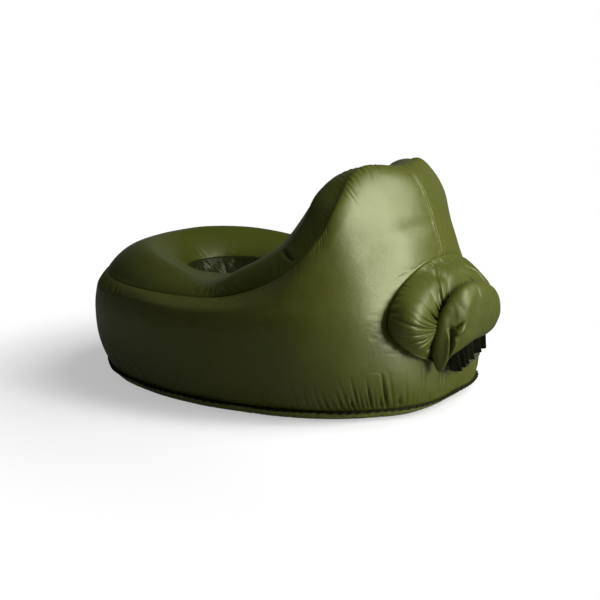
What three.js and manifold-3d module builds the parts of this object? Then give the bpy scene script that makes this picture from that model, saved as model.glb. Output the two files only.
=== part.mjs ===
// An inflated lounge chair for a child: a ring-shaped air cushion that rises into a back, with a slack well in the
// seat and a filling neck low on the rear, whose mouth is rolled up and held by a small side-release buckle.
// Millimetres. Front is -Y, the sitter's left is +X, up is +Z, and the chair stands on Z = 0.
import * as THREE from "three";
import { mergeVertices } from "three/addons/utils/BufferGeometryUtils.js";
import Module from "manifold-3d";

const wasm = await Module();
wasm.setup();

// Driving dimensions of the inflated body.
const BODY_WIDTH = 708;
const BODY_LENGTH = 866;
const SEAT_HEIGHT = 226;
const BACK_HEIGHT = 480;
const SKIN = 2.4;
const SEAM_GAP = 0.9;
const BASE_ROUND = 30;
const WELL_DIP = 34;
const COVER_FOLD_DEPTH = 17;
const SLEEVE_DROP = 6;

// Seam trim: the frilled welt round the base and the tapes behind the other seams.
const WELT_WIDTH = 8;
const WELT_THICKNESS = 2.6;
const WELT_WAVE = 1.6;
const TAPE_WIDTH = 8;
const TAPE_DEPTH = 3.2;
const FIT_GAP = 0.4;

// The filling neck and its rolled mouth.
const NECK_WIDTH = 406;
const NECK_DEPTH = 60;
const MOUTH_WIDTH = 140;
const MOUTH_HEIGHT = 7;
const MOUTH_LENGTH = 7;
const FOLD_WIDTH = 104;
const FOLD_THICKNESS = 5.6;
const ROLL_SPAN = 212;
const ROLL_HEIGHT = 140;
const ROLL_DEPTH = 62;
const ROLL_LEAN = 12;
const ROLL_STANDOFF = 42;
const HEM_WIDTH = 152;
const HEM_FOOT_WIDTH = 126;
const HEM_WAVE = 5.5;
const HEM_ZIGZAG = 4;
const HEM_THICKNESS = 1.6;

// The side-release buckle and its webbing.
const BUCKLE_WIDTH = 20;
const BUCKLE_THICKNESS = 8;
const BUCKLE_CORNER = 2;
const BUCKLE_STANDOFF = 29;
const SOCKET_LENGTH = 23;
const SOCKET_WALL = 2.6;
const SOCKET_FACE = 1.6;
const CAVITY_LENGTH = 14.5;
const WINDOW_LENGTH = 5.6;
const PLUG_LENGTH = 12;
const TONGUE_WIDTH = 3.4;
const PRONG_THICKNESS = 2.2;
const SLOT_LENGTH = 3;
const SLOT_BAR = 2.2;
const OVERRUN = 1;
const WEBBING_WIDTH = 14;
const WEBBING_THICKNESS = 1.4;
const STRAP_SAG = 3;
const STRAP_RISE = 8;

// How finely the curved pieces are faceted.
const HALF_COLUMNS = 26;
const NECK_COLUMNS = 12;
const NECK_ROWS = 12;
const ROLL_STEPS = 20;
const ROLL_SIDES = 20;
const HEM_PLEATS = 6;
const PLEAT_STEPS = 8;
const WELT_STEPS = 3;
const COVER_FOLDS = 7;
const STRAP_STEPS = 8;

// Places on the body, from front centre round the left side to rear centre. Each station is a share of half the
// width, a share of half the length, and a level: 0 on the floor, 1 at the seat seam, 2 at the top of the back.
const BASE_SEAM_SHARES = [
  [0, -0.951, 0.15],
  [0.424, -0.855, 0.142],
  [0.729, -0.624, 0.124],
  [0.881, -0.296, 0.11],
  [0.921, 0.051, 0.106],
  [0.876, 0.328, 0.102],
  [0.788, 0.545, 0.098],
  [0.653, 0.723, 0.097],
  [0.46, 0.871, 0.097],
  [0.237, 0.942, 0.098],
  [0, 0.951, 0.106],
];
const LOWER_WALL_SHARES = [
  [0, -0.993, 0.398],
  [0.463, -0.898, 0.389],
  [0.785, -0.651, 0.372],
  [0.949, -0.309, 0.363],
  [0.992, 0.046, 0.363],
  [0.955, 0.323, 0.372],
  [0.87, 0.557, 0.381],
  [0.723, 0.744, 0.389],
  [0.503, 0.882, 0.398],
  [0.254, 0.947, 0.389],
  [0, 0.963, 0.381],
];
const MIDDLE_WALL_SHARES = [
  [0, -1, 0.628],
  [0.466, -0.908, 0.62],
  [0.797, -0.665, 0.611],
  [0.96, -0.314, 0.602],
  [1, 0.037, 0.611],
  [0.96, 0.312, 0.65],
  [0.87, 0.54, 0.739],
  [0.712, 0.707, 0.827],
  [0.503, 0.831, 0.876],
  [0.26, 0.901, 0.894],
  [0, 0.919, 0.894],
];
const UPPER_WALL_SHARES = [
  [0, -0.986, 0.832],
  [0.452, -0.894, 0.823],
  [0.774, -0.656, 0.814],
  [0.932, -0.316, 0.805],
  [0.963, 0.018, 0.814],
  [0.932, 0.282, 0.894],
  [0.831, 0.494, 1.032],
  [0.678, 0.619, 1.213],
  [0.48, 0.711, 1.39],
  [0.254, 0.799, 1.461],
  [0, 0.836, 1.469],
];
const SHOULDER_WALL_SHARES = [
  [0, -0.965, 0.92],
  [0.435, -0.873, 0.92],
  [0.751, -0.642, 0.912],
  [0.904, -0.319, 0.903],
  [0.921, 0.009, 0.912],
  [0.898, 0.249, 0.991],
  [0.825, 0.462, 1.142],
  [0.706, 0.587, 1.343],
  [0.537, 0.656, 1.575],
  [0.316, 0.711, 1.78],
  [0, 0.778, 1.724],
];
const TOP_SEAM_SHARES = [
  [0, -0.931, 1],
  [0.41, -0.841, 1],
  [0.712, -0.617, 0.991],
  [0.862, -0.319, 0.982],
  [0.864, 0, 0.982],
  [0.847, 0.219, 1.055],
  [0.808, 0.427, 1.228],
  [0.723, 0.547, 1.437],
  [0.582, 0.58, 1.701],
  [0.35, 0.596, 1.969],
  [0, 0.702, 1.945],
];
const INNER_SHOULDER_SHARES = [
  [0, -0.868, 1.157],
  [0.373, -0.781, 1.157],
  [0.638, -0.582, 1.138],
  [0.768, -0.323, 1.094],
  [0.794, -0.023, 1.039],
  [0.78, 0.162, 1.173],
  [0.74, 0.36, 1.346],
  [0.667, 0.462, 1.543],
  [0.554, 0.487, 1.787],
  [0.322, 0.545, 2],
  [0, 0.637, 1.961],
];
const CREST_SHARES = [
  [0, -0.744, 1.236],
  [0.322, -0.674, 1.236],
  [0.537, -0.517, 1.213],
  [0.647, -0.316, 1.15],
  [0.678, -0.069, 1.055],
  [0.655, 0.139, 1.213],
  [0.61, 0.289, 1.37],
  [0.559, 0.365, 1.535],
  [0.46, 0.423, 1.764],
  [0.268, 0.485, 1.937],
  [0, 0.552, 1.906],
];
const INNER_SLOPE_SHARES = [
  [0, -0.663, 1.201],
  [0.263, -0.61, 1.193],
  [0.441, -0.476, 1.161],
  [0.537, -0.312, 1.102],
  [0.565, -0.115, 1.031],
  [0.537, 0.046, 1.094],
  [0.48, 0.139, 1.193],
  [0.424, 0.196, 1.311],
  [0.339, 0.236, 1.417],
  [0.184, 0.249, 1.488],
  [0, 0.259, 1.504],
];
const FUNNEL_SHARES = [
  [0, -0.605, 1.118],
  [0.22, -0.554, 1.118],
  [0.367, -0.439, 1.094],
  [0.438, -0.312, 1.063],
  [0.438, -0.162, 1.016],
  [0.395, -0.058, 1.039],
  [0.325, 0, 1.071],
  [0.26, 0.035, 1.118],
  [0.184, 0.058, 1.165],
  [0.09, 0.069, 1.193],
  [0, 0.074, 1.197],
];
const WELL_RIM_SHARES = [
  [0, -0.554, 1.008],
  [0.175, -0.513, 1.008],
  [0.277, -0.416, 1.008],
  [0.297, -0.323, 1.008],
  [0.277, -0.231, 1.008],
  [0.226, -0.173, 1.008],
  [0.175, -0.148, 1.008],
  [0.127, -0.134, 1.008],
  [0.085, -0.127, 1.008],
  [0.042, -0.125, 1.008],
  [0, -0.125, 1.008],
];

// The neck's height, and how high the middle of the neck, the roll's foot, the hem's lower edge and the buckle lie, as
// shares of the seat's height.
const NECK_HEIGHT_SHARE = 0.929;
const NECK_LEVEL_SHARE = 0.823;
const ROLL_FOOT_SHARE = 0.4956;
const HEM_LEVEL_SHARE = 0.354;
const BUCKLE_LEVEL_SHARE = 0.3673;

// Where the neck's root cuts the outer panel: the middle of the cut as a share of the panel's height, and how much
// of the panel's run and height go with a neck as wide as the body or as high as the seat.
const ROOT_LEVEL_SHARE = 0.376;
const ROOT_TURN_SHARE = 0.38;
const ROOT_RISE_SHARE = 0.167;
// How far back the body's rear reaches at the neck, as a share of half the length.
const NECK_FACE_SHARE = 0.919;

// The neck's bulge stands off its root: how far it lifts from the body and how far it spreads outwards at the top,
// the side and the bottom, as shares of the neck's depth.
const BULGE_LIFT_SHARES = [0.17, 0.3, 0.13];
const BULGE_SPREAD_SHARES = [-0.2, 0.19, 0.03];

// Rings of the neck from behind its bulge to its mouth: half width and half height as shares of the neck's, then how
// far back the top, the side and the bottom lie and how high the middle is, as shares of the neck's depth and height.
const NECK_RING_SHARES = [
  [0.887, 0.738, 0.27, -0.05, 0.32, -0.002],
  [0.704, 0.571, 0.48, 0.27, 0.12, -0.019],
  [0.512, 0.371, 0.2, 0.28, 0.05, -0.01],
];

// The rolled mouth from its middle to one end: across as a share of half its span, its top and its foot as shares of
// its height, and its depth as a share of the largest.
const ROLL_SHARES = [
  [0, 1, 0, 1],
  [0.36, 0.97, 0.01, 0.97],
  [0.68, 0.84, 0, 0.86],
  [0.89, 0.66, 0.1, 0.64],
  [1, 0.46, 0.36, 0.26],
];

// Levels in the well's slack cover and in its sleeve, and across the base panel.
const COVER_ROW_SHARES = [0, 0.14, 0.34, 0.6, 1];
const SLEEVE_ROW_SHARES = [0, 0.3, 0.65, 1];
const BASE_INSET_SHARES = [0, 0.34, 1];
const BASE_HEIGHT_SHARES = [1, 0.3, 0];
const BASE_FLAT_SHARES = [0.6, 1];
const OUTER_LOW_SHARES = [0, 0.18, 0.42, 0.72];
const OUTER_HIGH_SHARES = [0.16, 0.36, 0.58, 0.8, 1];
const INNER_ROWS = 14;
const HEM_ROW_SHARES = [0, 0.3, 0.65, 1];
const FRONT_TAPE_SHARES = [0.06, 0.94];
const TAPE_END_SHARE = 0.03;

const DECIMALS = 1e-3;
const NUDGE_SHARE = 1e-3;
const neckHeight = NECK_HEIGHT_SHARE * SEAT_HEIGHT;
const neckLevel = NECK_LEVEL_SHARE * SEAT_HEIGHT;
const rollFoot = ROLL_FOOT_SHARE * SEAT_HEIGHT;
const hemLevel = HEM_LEVEL_SHARE * SEAT_HEIGHT;
const buckleLevel = BUCKLE_LEVEL_SHARE * SEAT_HEIGHT;
const rearFace = (NECK_FACE_SHARE * BODY_LENGTH) / 2;
const rollFootBack = rearFace + ROLL_STANDOFF;

const COLOURS = {
  outer: 0x73764a,
  inner: 0x3d4020,
  base: 0x4a4d2a,
  trim: 0x24260e,
  tape: 0x5c5f3a,
  plastic: 0x1c1d18,
};
const fabric = (color) => new THREE.MeshStandardMaterial({ color, roughness: 0.5, side: THREE.DoubleSide });
const moulded = (color) => new THREE.MeshStandardMaterial({ color, roughness: 0.4 });

function levelHeight(level) {
  return level <= 1 ? level * SEAT_HEIGHT : SEAT_HEIGHT + (level - 1) * (BACK_HEIGHT - SEAT_HEIGHT);
}

function stationPoint([across, along, level]) {
  return new THREE.Vector3((across * BODY_WIDTH) / 2, (along * BODY_LENGTH) / 2, levelHeight(level));
}

function mirrored(point) {
  return new THREE.Vector3(-point.x, point.y, point.z);
}

// A point on the Catmull-Rom curve through equally spaced points, with one point given beyond each end.
function splineAt(points, before, after, share) {
  const spans = points.length - 1;
  const at = Math.min(Math.max(share, 0), 1) * spans;
  const span = Math.min(Math.floor(at), spans - 1);
  const w = at - span;
  const a = span > 0 ? points[span - 1] : before;
  const b = points[span];
  const c = points[span + 1];
  const d = span + 2 <= spans ? points[span + 2] : after;
  return new THREE.Vector3()
    .addScaledVector(a, (-w + 2 * w * w - w * w * w) / 2)
    .addScaledVector(b, (2 - 5 * w * w + 3 * w * w * w) / 2)
    .addScaledVector(c, (w + 4 * w * w - 3 * w * w * w) / 2)
    .addScaledVector(d, (w * w * w - w * w) / 2);
}

function carriedOn(a, b, c) {
  return a.clone().multiplyScalar(3).addScaledVector(b, -3).add(c);
}

function openSplineAt(points, share) {
  const n = points.length;
  return splineAt(
    points,
    carriedOn(points[0], points[1], points[2]),
    carriedOn(points[n - 1], points[n - 2], points[n - 3]),
    share,
  );
}

// A surface that runs across several seam tables: turn goes round the body, rise goes from the first table to the last.
function tableSurface(tables) {
  const lines = tables.map((table) => table.map(stationPoint));
  return (turn, rise) =>
    openSplineAt(
      lines.map((line) => splineAt(line, mirrored(line[1]), mirrored(line[line.length - 2]), turn)),
      rise,
    );
}

const outerSurface = tableSurface([
  BASE_SEAM_SHARES,
  LOWER_WALL_SHARES,
  MIDDLE_WALL_SHARES,
  UPPER_WALL_SHARES,
  SHOULDER_WALL_SHARES,
  TOP_SEAM_SHARES,
]);
const innerSurface = tableSurface([
  TOP_SEAM_SHARES,
  INNER_SHOULDER_SHARES,
  CREST_SHARES,
  INNER_SLOPE_SHARES,
  FUNNEL_SHARES,
  WELL_RIM_SHARES,
]);

// The base panel drops from its seam over a short round to the flat that rests on the floor, and runs to the middle.
function baseSurface(turn, row) {
  const seam = outerSurface(turn, 0);
  const centre = new THREE.Vector3(0, 0, seam.z);
  const inward = centre.clone().sub(seam).normalize();
  const drops = BASE_INSET_SHARES.length;
  if (row < drops) {
    const point = seam.clone().addScaledVector(inward, BASE_INSET_SHARES[row] * BASE_ROUND);
    point.z = seam.z * BASE_HEIGHT_SHARES[row];
    return point;
  }
  const edge = seam.clone().addScaledVector(inward, BASE_ROUND);
  const flat = edge.lerp(centre, BASE_FLAT_SHARES[row - drops]);
  flat.z = 0;
  return flat;
}

// The roll's outline across the chair: its half depth, and its top and foot, from the middle to the left end.
const rollStations = ROLL_SHARES.map(([across, top, foot, depth]) => ({
  outline: new THREE.Vector3(
    (across * ROLL_SPAN) / 2,
    rollFoot + top * ROLL_HEIGHT,
    rollFoot + foot * ROLL_HEIGHT,
  ),
  depth: new THREE.Vector3(0, (depth * ROLL_DEPTH) / 2, 0),
}));

function rollAt(share) {
  const outlines = rollStations.map((station) => station.outline);
  const depths = rollStations.map((station) => station.depth);
  const last = outlines.length - 1;
  const beyond = carriedOn(outlines[last], outlines[last - 1], outlines[last - 2]);
  const outline = splineAt(outlines, mirrored(outlines[1]), beyond, Math.abs(share));
  const depth = splineAt(depths, depths[1], depths[last], Math.abs(share)).y;
  return { across: outline.x * Math.sign(share), top: outline.y, foot: outline.z, depth };
}

// The roll leans back from its foot to its top.
function rollMiddle(height) {
  return rollFootBack + (ROLL_LEAN * (height - rollFoot)) / ROLL_HEIGHT;
}

// The neck's fold ends just before the roll's front.
const foldUp = (2 * (neckLevel - rollFoot)) / ROLL_HEIGHT - 1;
const foldEnd = rollMiddle(neckLevel) - (Math.sqrt(1 - foldUp * foldUp) * ROLL_DEPTH) / 2 - FIT_GAP;

const rootTurn = (NECK_WIDTH / BODY_WIDTH) * ROOT_TURN_SHARE;
const rootRise = (neckHeight / SEAT_HEIGHT) * ROOT_RISE_SHARE;

// A point on the neck's root, from angle 0 at the top over the left side to half a turn at the bottom.
function rootPoint(angle) {
  return outerSurface(1 - rootTurn * Math.sin(angle), ROOT_LEVEL_SHARE + rootRise * Math.cos(angle));
}

// A share read round the neck, from its values at the top, the side and the bottom.
function roundNeck([top, side, bottom], angle) {
  const upright = Math.cos(angle) ** 2;
  return (Math.cos(angle) > 0 ? top : bottom) * upright + side * (1 - upright);
}

function bulgePoint(angle) {
  const turn = 1 - rootTurn * Math.sin(angle);
  const point = rootPoint(angle);
  const normal = surfaceNormal(outerSurface, turn, ROOT_LEVEL_SHARE + rootRise * Math.cos(angle));
  if (onPlane(turn)) normal.setX(0).normalize();
  const outwards = new THREE.Vector3(point.x, 0, point.z - neckLevel).normalize();
  return point
    .addScaledVector(normal, roundNeck(BULGE_LIFT_SHARES, angle) * NECK_DEPTH)
    .addScaledVector(outwards, roundNeck(BULGE_SPREAD_SHARES, angle) * NECK_DEPTH);
}

function neckRingPoint([wide, high, top, side, bottom, lift], angle) {
  const back = roundNeck([top, side, bottom], angle);
  return new THREE.Vector3(
    (wide * NECK_WIDTH * Math.sin(angle)) / 2,
    rearFace + back * NECK_DEPTH,
    neckLevel + lift * neckHeight + (high * neckHeight * Math.cos(angle)) / 2,
  );
}

function mouthPoint(angle) {
  const across = Math.sqrt(Math.sin(angle));
  const up = Math.sign(Math.cos(angle)) * Math.sqrt(Math.abs(Math.cos(angle)));
  return new THREE.Vector3(
    (MOUTH_WIDTH * across) / 2,
    foldEnd - MOUTH_LENGTH,
    neckLevel + (MOUTH_HEIGHT * up) / 2,
  );
}

function neckSurface(angle, out) {
  const rings = NECK_RING_SHARES.map((ring) => neckRingPoint(ring, angle));
  const points = [rootPoint(angle), bulgePoint(angle), ...rings, mouthPoint(angle)];
  const beyond = (end, next) => end.clone().multiplyScalar(2).sub(next);
  return splineAt(points, beyond(points[0], points[1]), beyond(...points.slice(-2).reverse()), out);
}

// Closed bodies from triangles: coinciding corners are joined, empty faces dropped and the faces turned outwards.
function closedGeometry(triangles) {
  const kept = triangles.filter(
    ([a, b, c]) => a.distanceTo(b) > DECIMALS && b.distanceTo(c) > DECIMALS && c.distanceTo(a) > DECIMALS,
  );
  const volume = kept.reduce((sum, [a, b, c]) => sum + a.dot(b.clone().cross(c)), 0);
  const turned = volume < 0 ? kept.map(([a, b, c]) => [a, c, b]) : kept;
  const geometry = new THREE.BufferGeometry().setFromPoints(turned.flat());
  const joined = mergeVertices(geometry, DECIMALS);
  joined.computeVertexNormals();
  return joined;
}

function quad(a, b, c, d) {
  return [
    [a, b, c],
    [a, c, d],
  ];
}

function makeGrid(rows, columns, pointAt) {
  return Array.from({ length: rows }, (_, row) => Array.from({ length: columns }, (_, column) => pointAt(row, column)));
}

function gridNormals(grid, ring) {
  const rows = grid.length;
  const columns = grid[0].length;
  const sideways = (row, column, step) =>
    ring
      ? grid[row][(column + step + columns) % columns]
      : grid[row][Math.min(Math.max(column + step, 0), columns - 1)];
  return makeGrid(rows, columns, (row, column) => {
    const along = sideways(row, column, 1).clone().sub(sideways(row, column, -1));
    const up = grid[Math.min(row + 1, rows - 1)][column].clone().sub(grid[Math.max(row - 1, 0)][column]);
    return along.cross(up).normalize();
  });
}

// Two layers of one grid joined round their edges into a closed skin.
function skinTriangles(outer, inner, ring) {
  const rows = outer.length;
  const columns = outer[0].length;
  const triangles = [];
  for (let row = 0; row < rows - 1; row++) {
    for (let column = 0; column < (ring ? columns : columns - 1); column++) {
      const next = (column + 1) % columns;
      triangles.push(...quad(outer[row][column], outer[row][next], outer[row + 1][next], outer[row + 1][column]));
      triangles.push(...quad(inner[row][next], inner[row][column], inner[row + 1][column], inner[row + 1][next]));
    }
    if (!ring) {
      const last = columns - 1;
      triangles.push(...quad(outer[row][0], outer[row + 1][0], inner[row + 1][0], inner[row][0]));
      triangles.push(...quad(outer[row + 1][last], outer[row][last], inner[row][last], inner[row + 1][last]));
    }
  }
  for (let column = 0; column < (ring ? columns : columns - 1); column++) {
    const next = (column + 1) % columns;
    const end = rows - 1;
    triangles.push(...quad(outer[0][next], outer[0][column], inner[0][column], inner[0][next]));
    triangles.push(...quad(outer[end][column], outer[end][next], inner[end][next], inner[end][column]));
  }
  return triangles;
}

// A skin of the fabric's thickness under a grid. The edge rows take their inward direction from the seam, so that
// neighbours meet in a mitre, and each edge with such a direction draws back by half the seam gap. A last row that
// closes in one point takes the pole's direction.
function skin(grid, { ring = false, facing = 1, firstRow, lastRow, firstColumn, lastColumn, pole, thickness = SKIN }) {
  const rows = grid.length;
  const columns = grid[0].length;
  const normals = gridNormals(grid, ring);
  const inwardAt = (row, column) => {
    if (!ring && column === 0 && firstColumn) return firstColumn(row);
    if (!ring && column === columns - 1 && lastColumn) return lastColumn(row);
    if (row === 0 && firstRow) return firstRow(column);
    if (row === rows - 1 && lastRow) return lastRow(column);
    if (row === rows - 1 && pole) return pole;
    return normals[row][column].clone().multiplyScalar(-facing);
  };
  const drawn = (row, column) => {
    const shift = new THREE.Vector3();
    const towards = (other) => shift.add(other.clone().sub(grid[row][column]).setLength(SEAM_GAP / 2));
    if (row === 0 && firstRow) towards(grid[1][column]);
    if (row === rows - 1 && lastRow) towards(grid[rows - 2][column]);
    if (!ring && column === 0 && firstColumn) towards(grid[row][1]);
    if (!ring && column === columns - 1 && lastColumn) towards(grid[row][columns - 2]);
    return shift;
  };
  const outer = makeGrid(rows, columns, (row, column) => grid[row][column].clone().add(drawn(row, column)));
  const inner = makeGrid(rows, columns, (row, column) =>
    outer[row][column].clone().addScaledVector(inwardAt(row, column), thickness),
  );
  return closedGeometry(skinTriangles(outer, inner, ring));
}

// A solid swept through a row of like sections, closed by a fan at each end or round on itself.
function sweptGeometry(sections, loop = false) {
  const sides = sections[0].length;
  const triangles = [];
  for (let step = 0; step < (loop ? sections.length : sections.length - 1); step++) {
    const here = sections[step];
    const there = sections[(step + 1) % sections.length];
    for (let side = 0; side < sides; side++) {
      const next = (side + 1) % sides;
      triangles.push(...quad(here[side], here[next], there[next], there[side]));
    }
  }
  if (!loop) {
    for (const [section, turn] of [
      [sections[0], 1],
      [sections[sections.length - 1], -1],
    ]) {
      const centre = section.reduce((sum, point) => sum.add(point), new THREE.Vector3()).divideScalar(sides);
      for (let side = 0; side < sides; side++) {
        const pair = [section[(side + 1) % sides], section[side]];
        triangles.push(turn > 0 ? [centre, ...pair] : [centre, ...pair.reverse()]);
      }
    }
  }
  return closedGeometry(triangles);
}

function mirroredGeometry(geometry) {
  const copy = geometry.clone().scale(-1, 1, 1);
  const index = Array.from(copy.index.array);
  for (let i = 0; i < index.length; i += 3) [index[i + 1], index[i + 2]] = [index[i + 2], index[i + 1]];
  copy.setIndex(index);
  return copy;
}

function surfaceNormal(surface, turn, rise) {
  const turnLow = Math.max(turn - NUDGE_SHARE, 0);
  const turnHigh = Math.min(turn + NUDGE_SHARE, 1);
  const riseLow = Math.max(rise - NUDGE_SHARE, 0);
  const riseHigh = Math.min(rise + NUDGE_SHARE, 1);
  const along = surface(turnHigh, rise).sub(surface(turnLow, rise));
  const up = surface(turn, riseHigh).sub(surface(turn, riseLow));
  return along.cross(up).normalize();
}

function mitre(first, second, inPlane) {
  const inward = first.clone().add(second).negate();
  if (inPlane) inward.x = 0;
  return inward.normalize();
}

const onPlane = (turn) => turn <= 0 || turn >= 1;

function topSeamInward(turn) {
  return mitre(surfaceNormal(outerSurface, turn, 1), surfaceNormal(innerSurface, turn, 0), onPlane(turn));
}

function baseSeamInward(turn) {
  const along = outerSurface(Math.min(turn + NUDGE_SHARE, 1), 0).sub(outerSurface(Math.max(turn - NUDGE_SHARE, 0), 0));
  const under = baseSurface(turn, 1).sub(baseSurface(turn, 0)).cross(along).normalize();
  return mitre(surfaceNormal(outerSurface, turn, 0), under, onPlane(turn));
}

function planeInward(turn, rise) {
  const inward = surfaceNormal(outerSurface, turn, rise).negate();
  inward.x = 0;
  return inward.normalize();
}

function rootInward(angle) {
  const turn = 1 - rootTurn * Math.sin(angle);
  const rise = ROOT_LEVEL_SHARE + rootRise * Math.cos(angle);
  const body = surfaceNormal(outerSurface, turn, rise);
  const inPlane = Math.sin(angle) < DECIMALS;
  const neck = surfaceNormal((bend, out) => neckSurface(bend * Math.PI, out), angle / Math.PI, 0);
  return mitre(body, neck, inPlane);
}

// The station of a column that runs round the whole ring: the left half first, then back along the mirrored half.
function ringTurn(column) {
  return column <= HALF_COLUMNS ? column / HALF_COLUMNS : (2 * HALF_COLUMNS - column) / HALF_COLUMNS;
}

function onRing(column, pointAt) {
  const point = pointAt(ringTurn(column));
  return column > HALF_COLUMNS ? mirrored(point) : point;
}

const ringColumns = 2 * HALF_COLUMNS;

// Rows of the outer panel: below the neck's root, round it, and above it.
const lowRise = ROOT_LEVEL_SHARE - rootRise;
const highRise = ROOT_LEVEL_SHARE + rootRise;
const outerRows = [
  ...OUTER_LOW_SHARES.map((share) => ({ rise: share * lowRise })),
  ...Array.from({ length: NECK_COLUMNS + 1 }, (_, step) => {
    const angle = Math.PI * (1 - step / NECK_COLUMNS);
    return { angle, rise: ROOT_LEVEL_SHARE + rootRise * Math.cos(angle) };
  }),
  ...OUTER_HIGH_SHARES.map((share) => ({ rise: highRise + share * (1 - highRise) })),
];

function outerPanel() {
  const grid = makeGrid(outerRows.length, HALF_COLUMNS + 1, (row, column) => {
    const { angle, rise } = outerRows[row];
    const end = angle === undefined ? 1 : 1 - rootTurn * Math.sin(angle);
    return outerSurface((end * column) / HALF_COLUMNS, rise);
  });
  return skin(grid, {
    firstRow: (column) => baseSeamInward(column / HALF_COLUMNS),
    lastRow: (column) => topSeamInward(column / HALF_COLUMNS),
    firstColumn: (row) => {
      if (row === 0) return baseSeamInward(0);
      if (row === outerRows.length - 1) return topSeamInward(0);
      return planeInward(0, outerRows[row].rise);
    },
    lastColumn: (row) => {
      if (row === 0) return baseSeamInward(1);
      if (row === outerRows.length - 1) return topSeamInward(1);
      const { angle, rise } = outerRows[row];
      return angle === undefined ? planeInward(1, rise) : rootInward(angle);
    },
  });
}

// The seat ring, the arms' inner faces and the back's front face are one panel, from the top seam to the well's rim.
function seatBackPanel() {
  const grid = makeGrid(INNER_ROWS + 1, ringColumns, (row, column) =>
    onRing(column, (turn) => innerSurface(turn, row / INNER_ROWS)),
  );
  return skin(grid, {
    ring: true,
    firstRow: (column) => onRing(column, topSeamInward),
    lastRow: (column) => onRing(column, rimInward),
  });
}

function rimInward(turn) {
  const seat = surfaceNormal(innerSurface, turn, 1);
  if (onPlane(turn)) seat.x = 0;
  return seat.normalize().negate();
}

const rimCentre = innerSurface(0, 1).lerp(innerSurface(1, 1), 0.5);

// The slack cover hangs in the well's rim, deepest in the middle, with folds that run out to the rim.
function wellCover() {
  const rows = COVER_ROW_SHARES.length;
  const grid = makeGrid(rows, ringColumns, (row, column) => {
    const share = COVER_ROW_SHARES[row];
    const rim = onRing(column, (turn) => innerSurface(turn, 1));
    const sunk = rim.clone().lerp(rimCentre, share);
    const fold = COVER_FOLD_DEPTH * share * (1 - share) * Math.sin((2 * Math.PI * COVER_FOLDS * column) / ringColumns);
    sunk.z = rim.z - WELL_DIP * (1 - (1 - share) ** 2) - fold;
    return sunk;
  });
  return skin(grid, {
    ring: true,
    firstRow: (column) => onRing(column, rimInward),
    pole: new THREE.Vector3(0, 0, -1),
  });
}

// The sleeve under the rim is the air ring's inner wall: it runs down to the base panel.
function wellSleeve() {
  const top = rimCentre.z - SLEEVE_DROP;
  const grid = makeGrid(SLEEVE_ROW_SHARES.length, ringColumns, (row, column) => {
    const rim = onRing(column, (turn) => innerSurface(turn, 1));
    const outwards = rim.clone().sub(rimCentre).setLength(TAPE_WIDTH);
    const point = rim.add(outwards);
    point.z = top + SLEEVE_ROW_SHARES[row] * (SKIN + FIT_GAP - top);
    return point;
  });
  return skin(grid, { ring: true, facing: -1 });
}

function basePanel() {
  const rows = BASE_INSET_SHARES.length + BASE_FLAT_SHARES.length;
  const grid = makeGrid(rows, ringColumns, (row, column) => onRing(column, (turn) => baseSurface(turn, row)));
  return skin(grid, {
    ring: true,
    facing: -1,
    firstRow: (column) => onRing(column, baseSeamInward),
    pole: new THREE.Vector3(0, 0, 1),
  });
}

// The welt stands out from the base seam as a flat frill that waves gently up and down.
function baseWelt() {
  const steps = ringColumns * WELT_STEPS;
  const sections = Array.from({ length: steps }, (_, step) => {
    const column = Math.floor(step / WELT_STEPS);
    const share = (step % WELT_STEPS) / WELT_STEPS;
    const seam = (at) => onRing(at % ringColumns, (turn) => outerSurface(turn, 0));
    const inward = (at) => onRing(at % ringColumns, baseSeamInward);
    const point = seam(column).lerp(seam(column + 1), share);
    const out = inward(column).lerp(inward(column + 1), share).normalize().negate();
    const along = seam(column + 1).sub(seam(column)).normalize();
    const across = along.clone().cross(out).normalize();
    const wave = WELT_WAVE * Math.sin((Math.PI * step) / 2);
    const corner = (reach, side, lift) =>
      point
        .clone()
        .addScaledVector(out, reach)
        .addScaledVector(across, (side * WELT_THICKNESS) / 2 + lift);
    return [
      corner(SEAM_GAP, -1, 0),
      corner(SEAM_GAP, 1, 0),
      corner(SEAM_GAP + WELT_WIDTH, 1, wave),
      corner(SEAM_GAP + WELT_WIDTH, -1, wave),
    ];
  });
  return sweptGeometry(sections, true);
}

// A tape behind a seam: a flat wedge whose edge lies just under the seam's mitre.
function seamTape(points, inwards, loop = false) {
  const count = points.length;
  const sections = points.map((point, step) => {
    const before = loop ? points[(step + count - 1) % count] : points[Math.max(step - 1, 0)];
    const after = loop ? points[(step + 1) % count] : points[Math.min(step + 1, count - 1)];
    const along = after.clone().sub(before).normalize();
    const across = along.clone().cross(inwards[step]).normalize();
    const top = point.clone().addScaledVector(inwards[step], SKIN + FIT_GAP);
    const low = top.clone().addScaledVector(inwards[step], TAPE_DEPTH);
    return [
      top,
      low.clone().addScaledVector(across, TAPE_WIDTH / 2),
      low.clone().addScaledVector(across, -TAPE_WIDTH / 2),
    ];
  });
  return sweptGeometry(sections, loop);
}

function stepsBetween(count, from, to) {
  return Array.from({ length: count + 1 }, (_, step) => from + ((to - from) * step) / count);
}

function topSeamTape() {
  const turns = stepsBetween(HALF_COLUMNS, 0, 1).slice(1, -1);
  return seamTape(
    turns.map((turn) => outerSurface(turn, 1)),
    turns.map(topSeamInward),
  );
}

function planeSeamTape(turn, fromRise, toRise) {
  const rises = stepsBetween(OUTER_HIGH_SHARES.length, fromRise, toRise);
  return seamTape(
    rises.map((rise) => outerSurface(turn, rise)),
    rises.map((rise) => planeInward(turn, rise)),
  );
}

function rootTape() {
  const angles = stepsBetween(NECK_COLUMNS, 0, Math.PI).slice(1, -1);
  return seamTape(angles.map(rootPoint), angles.map(rootInward));
}

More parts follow.
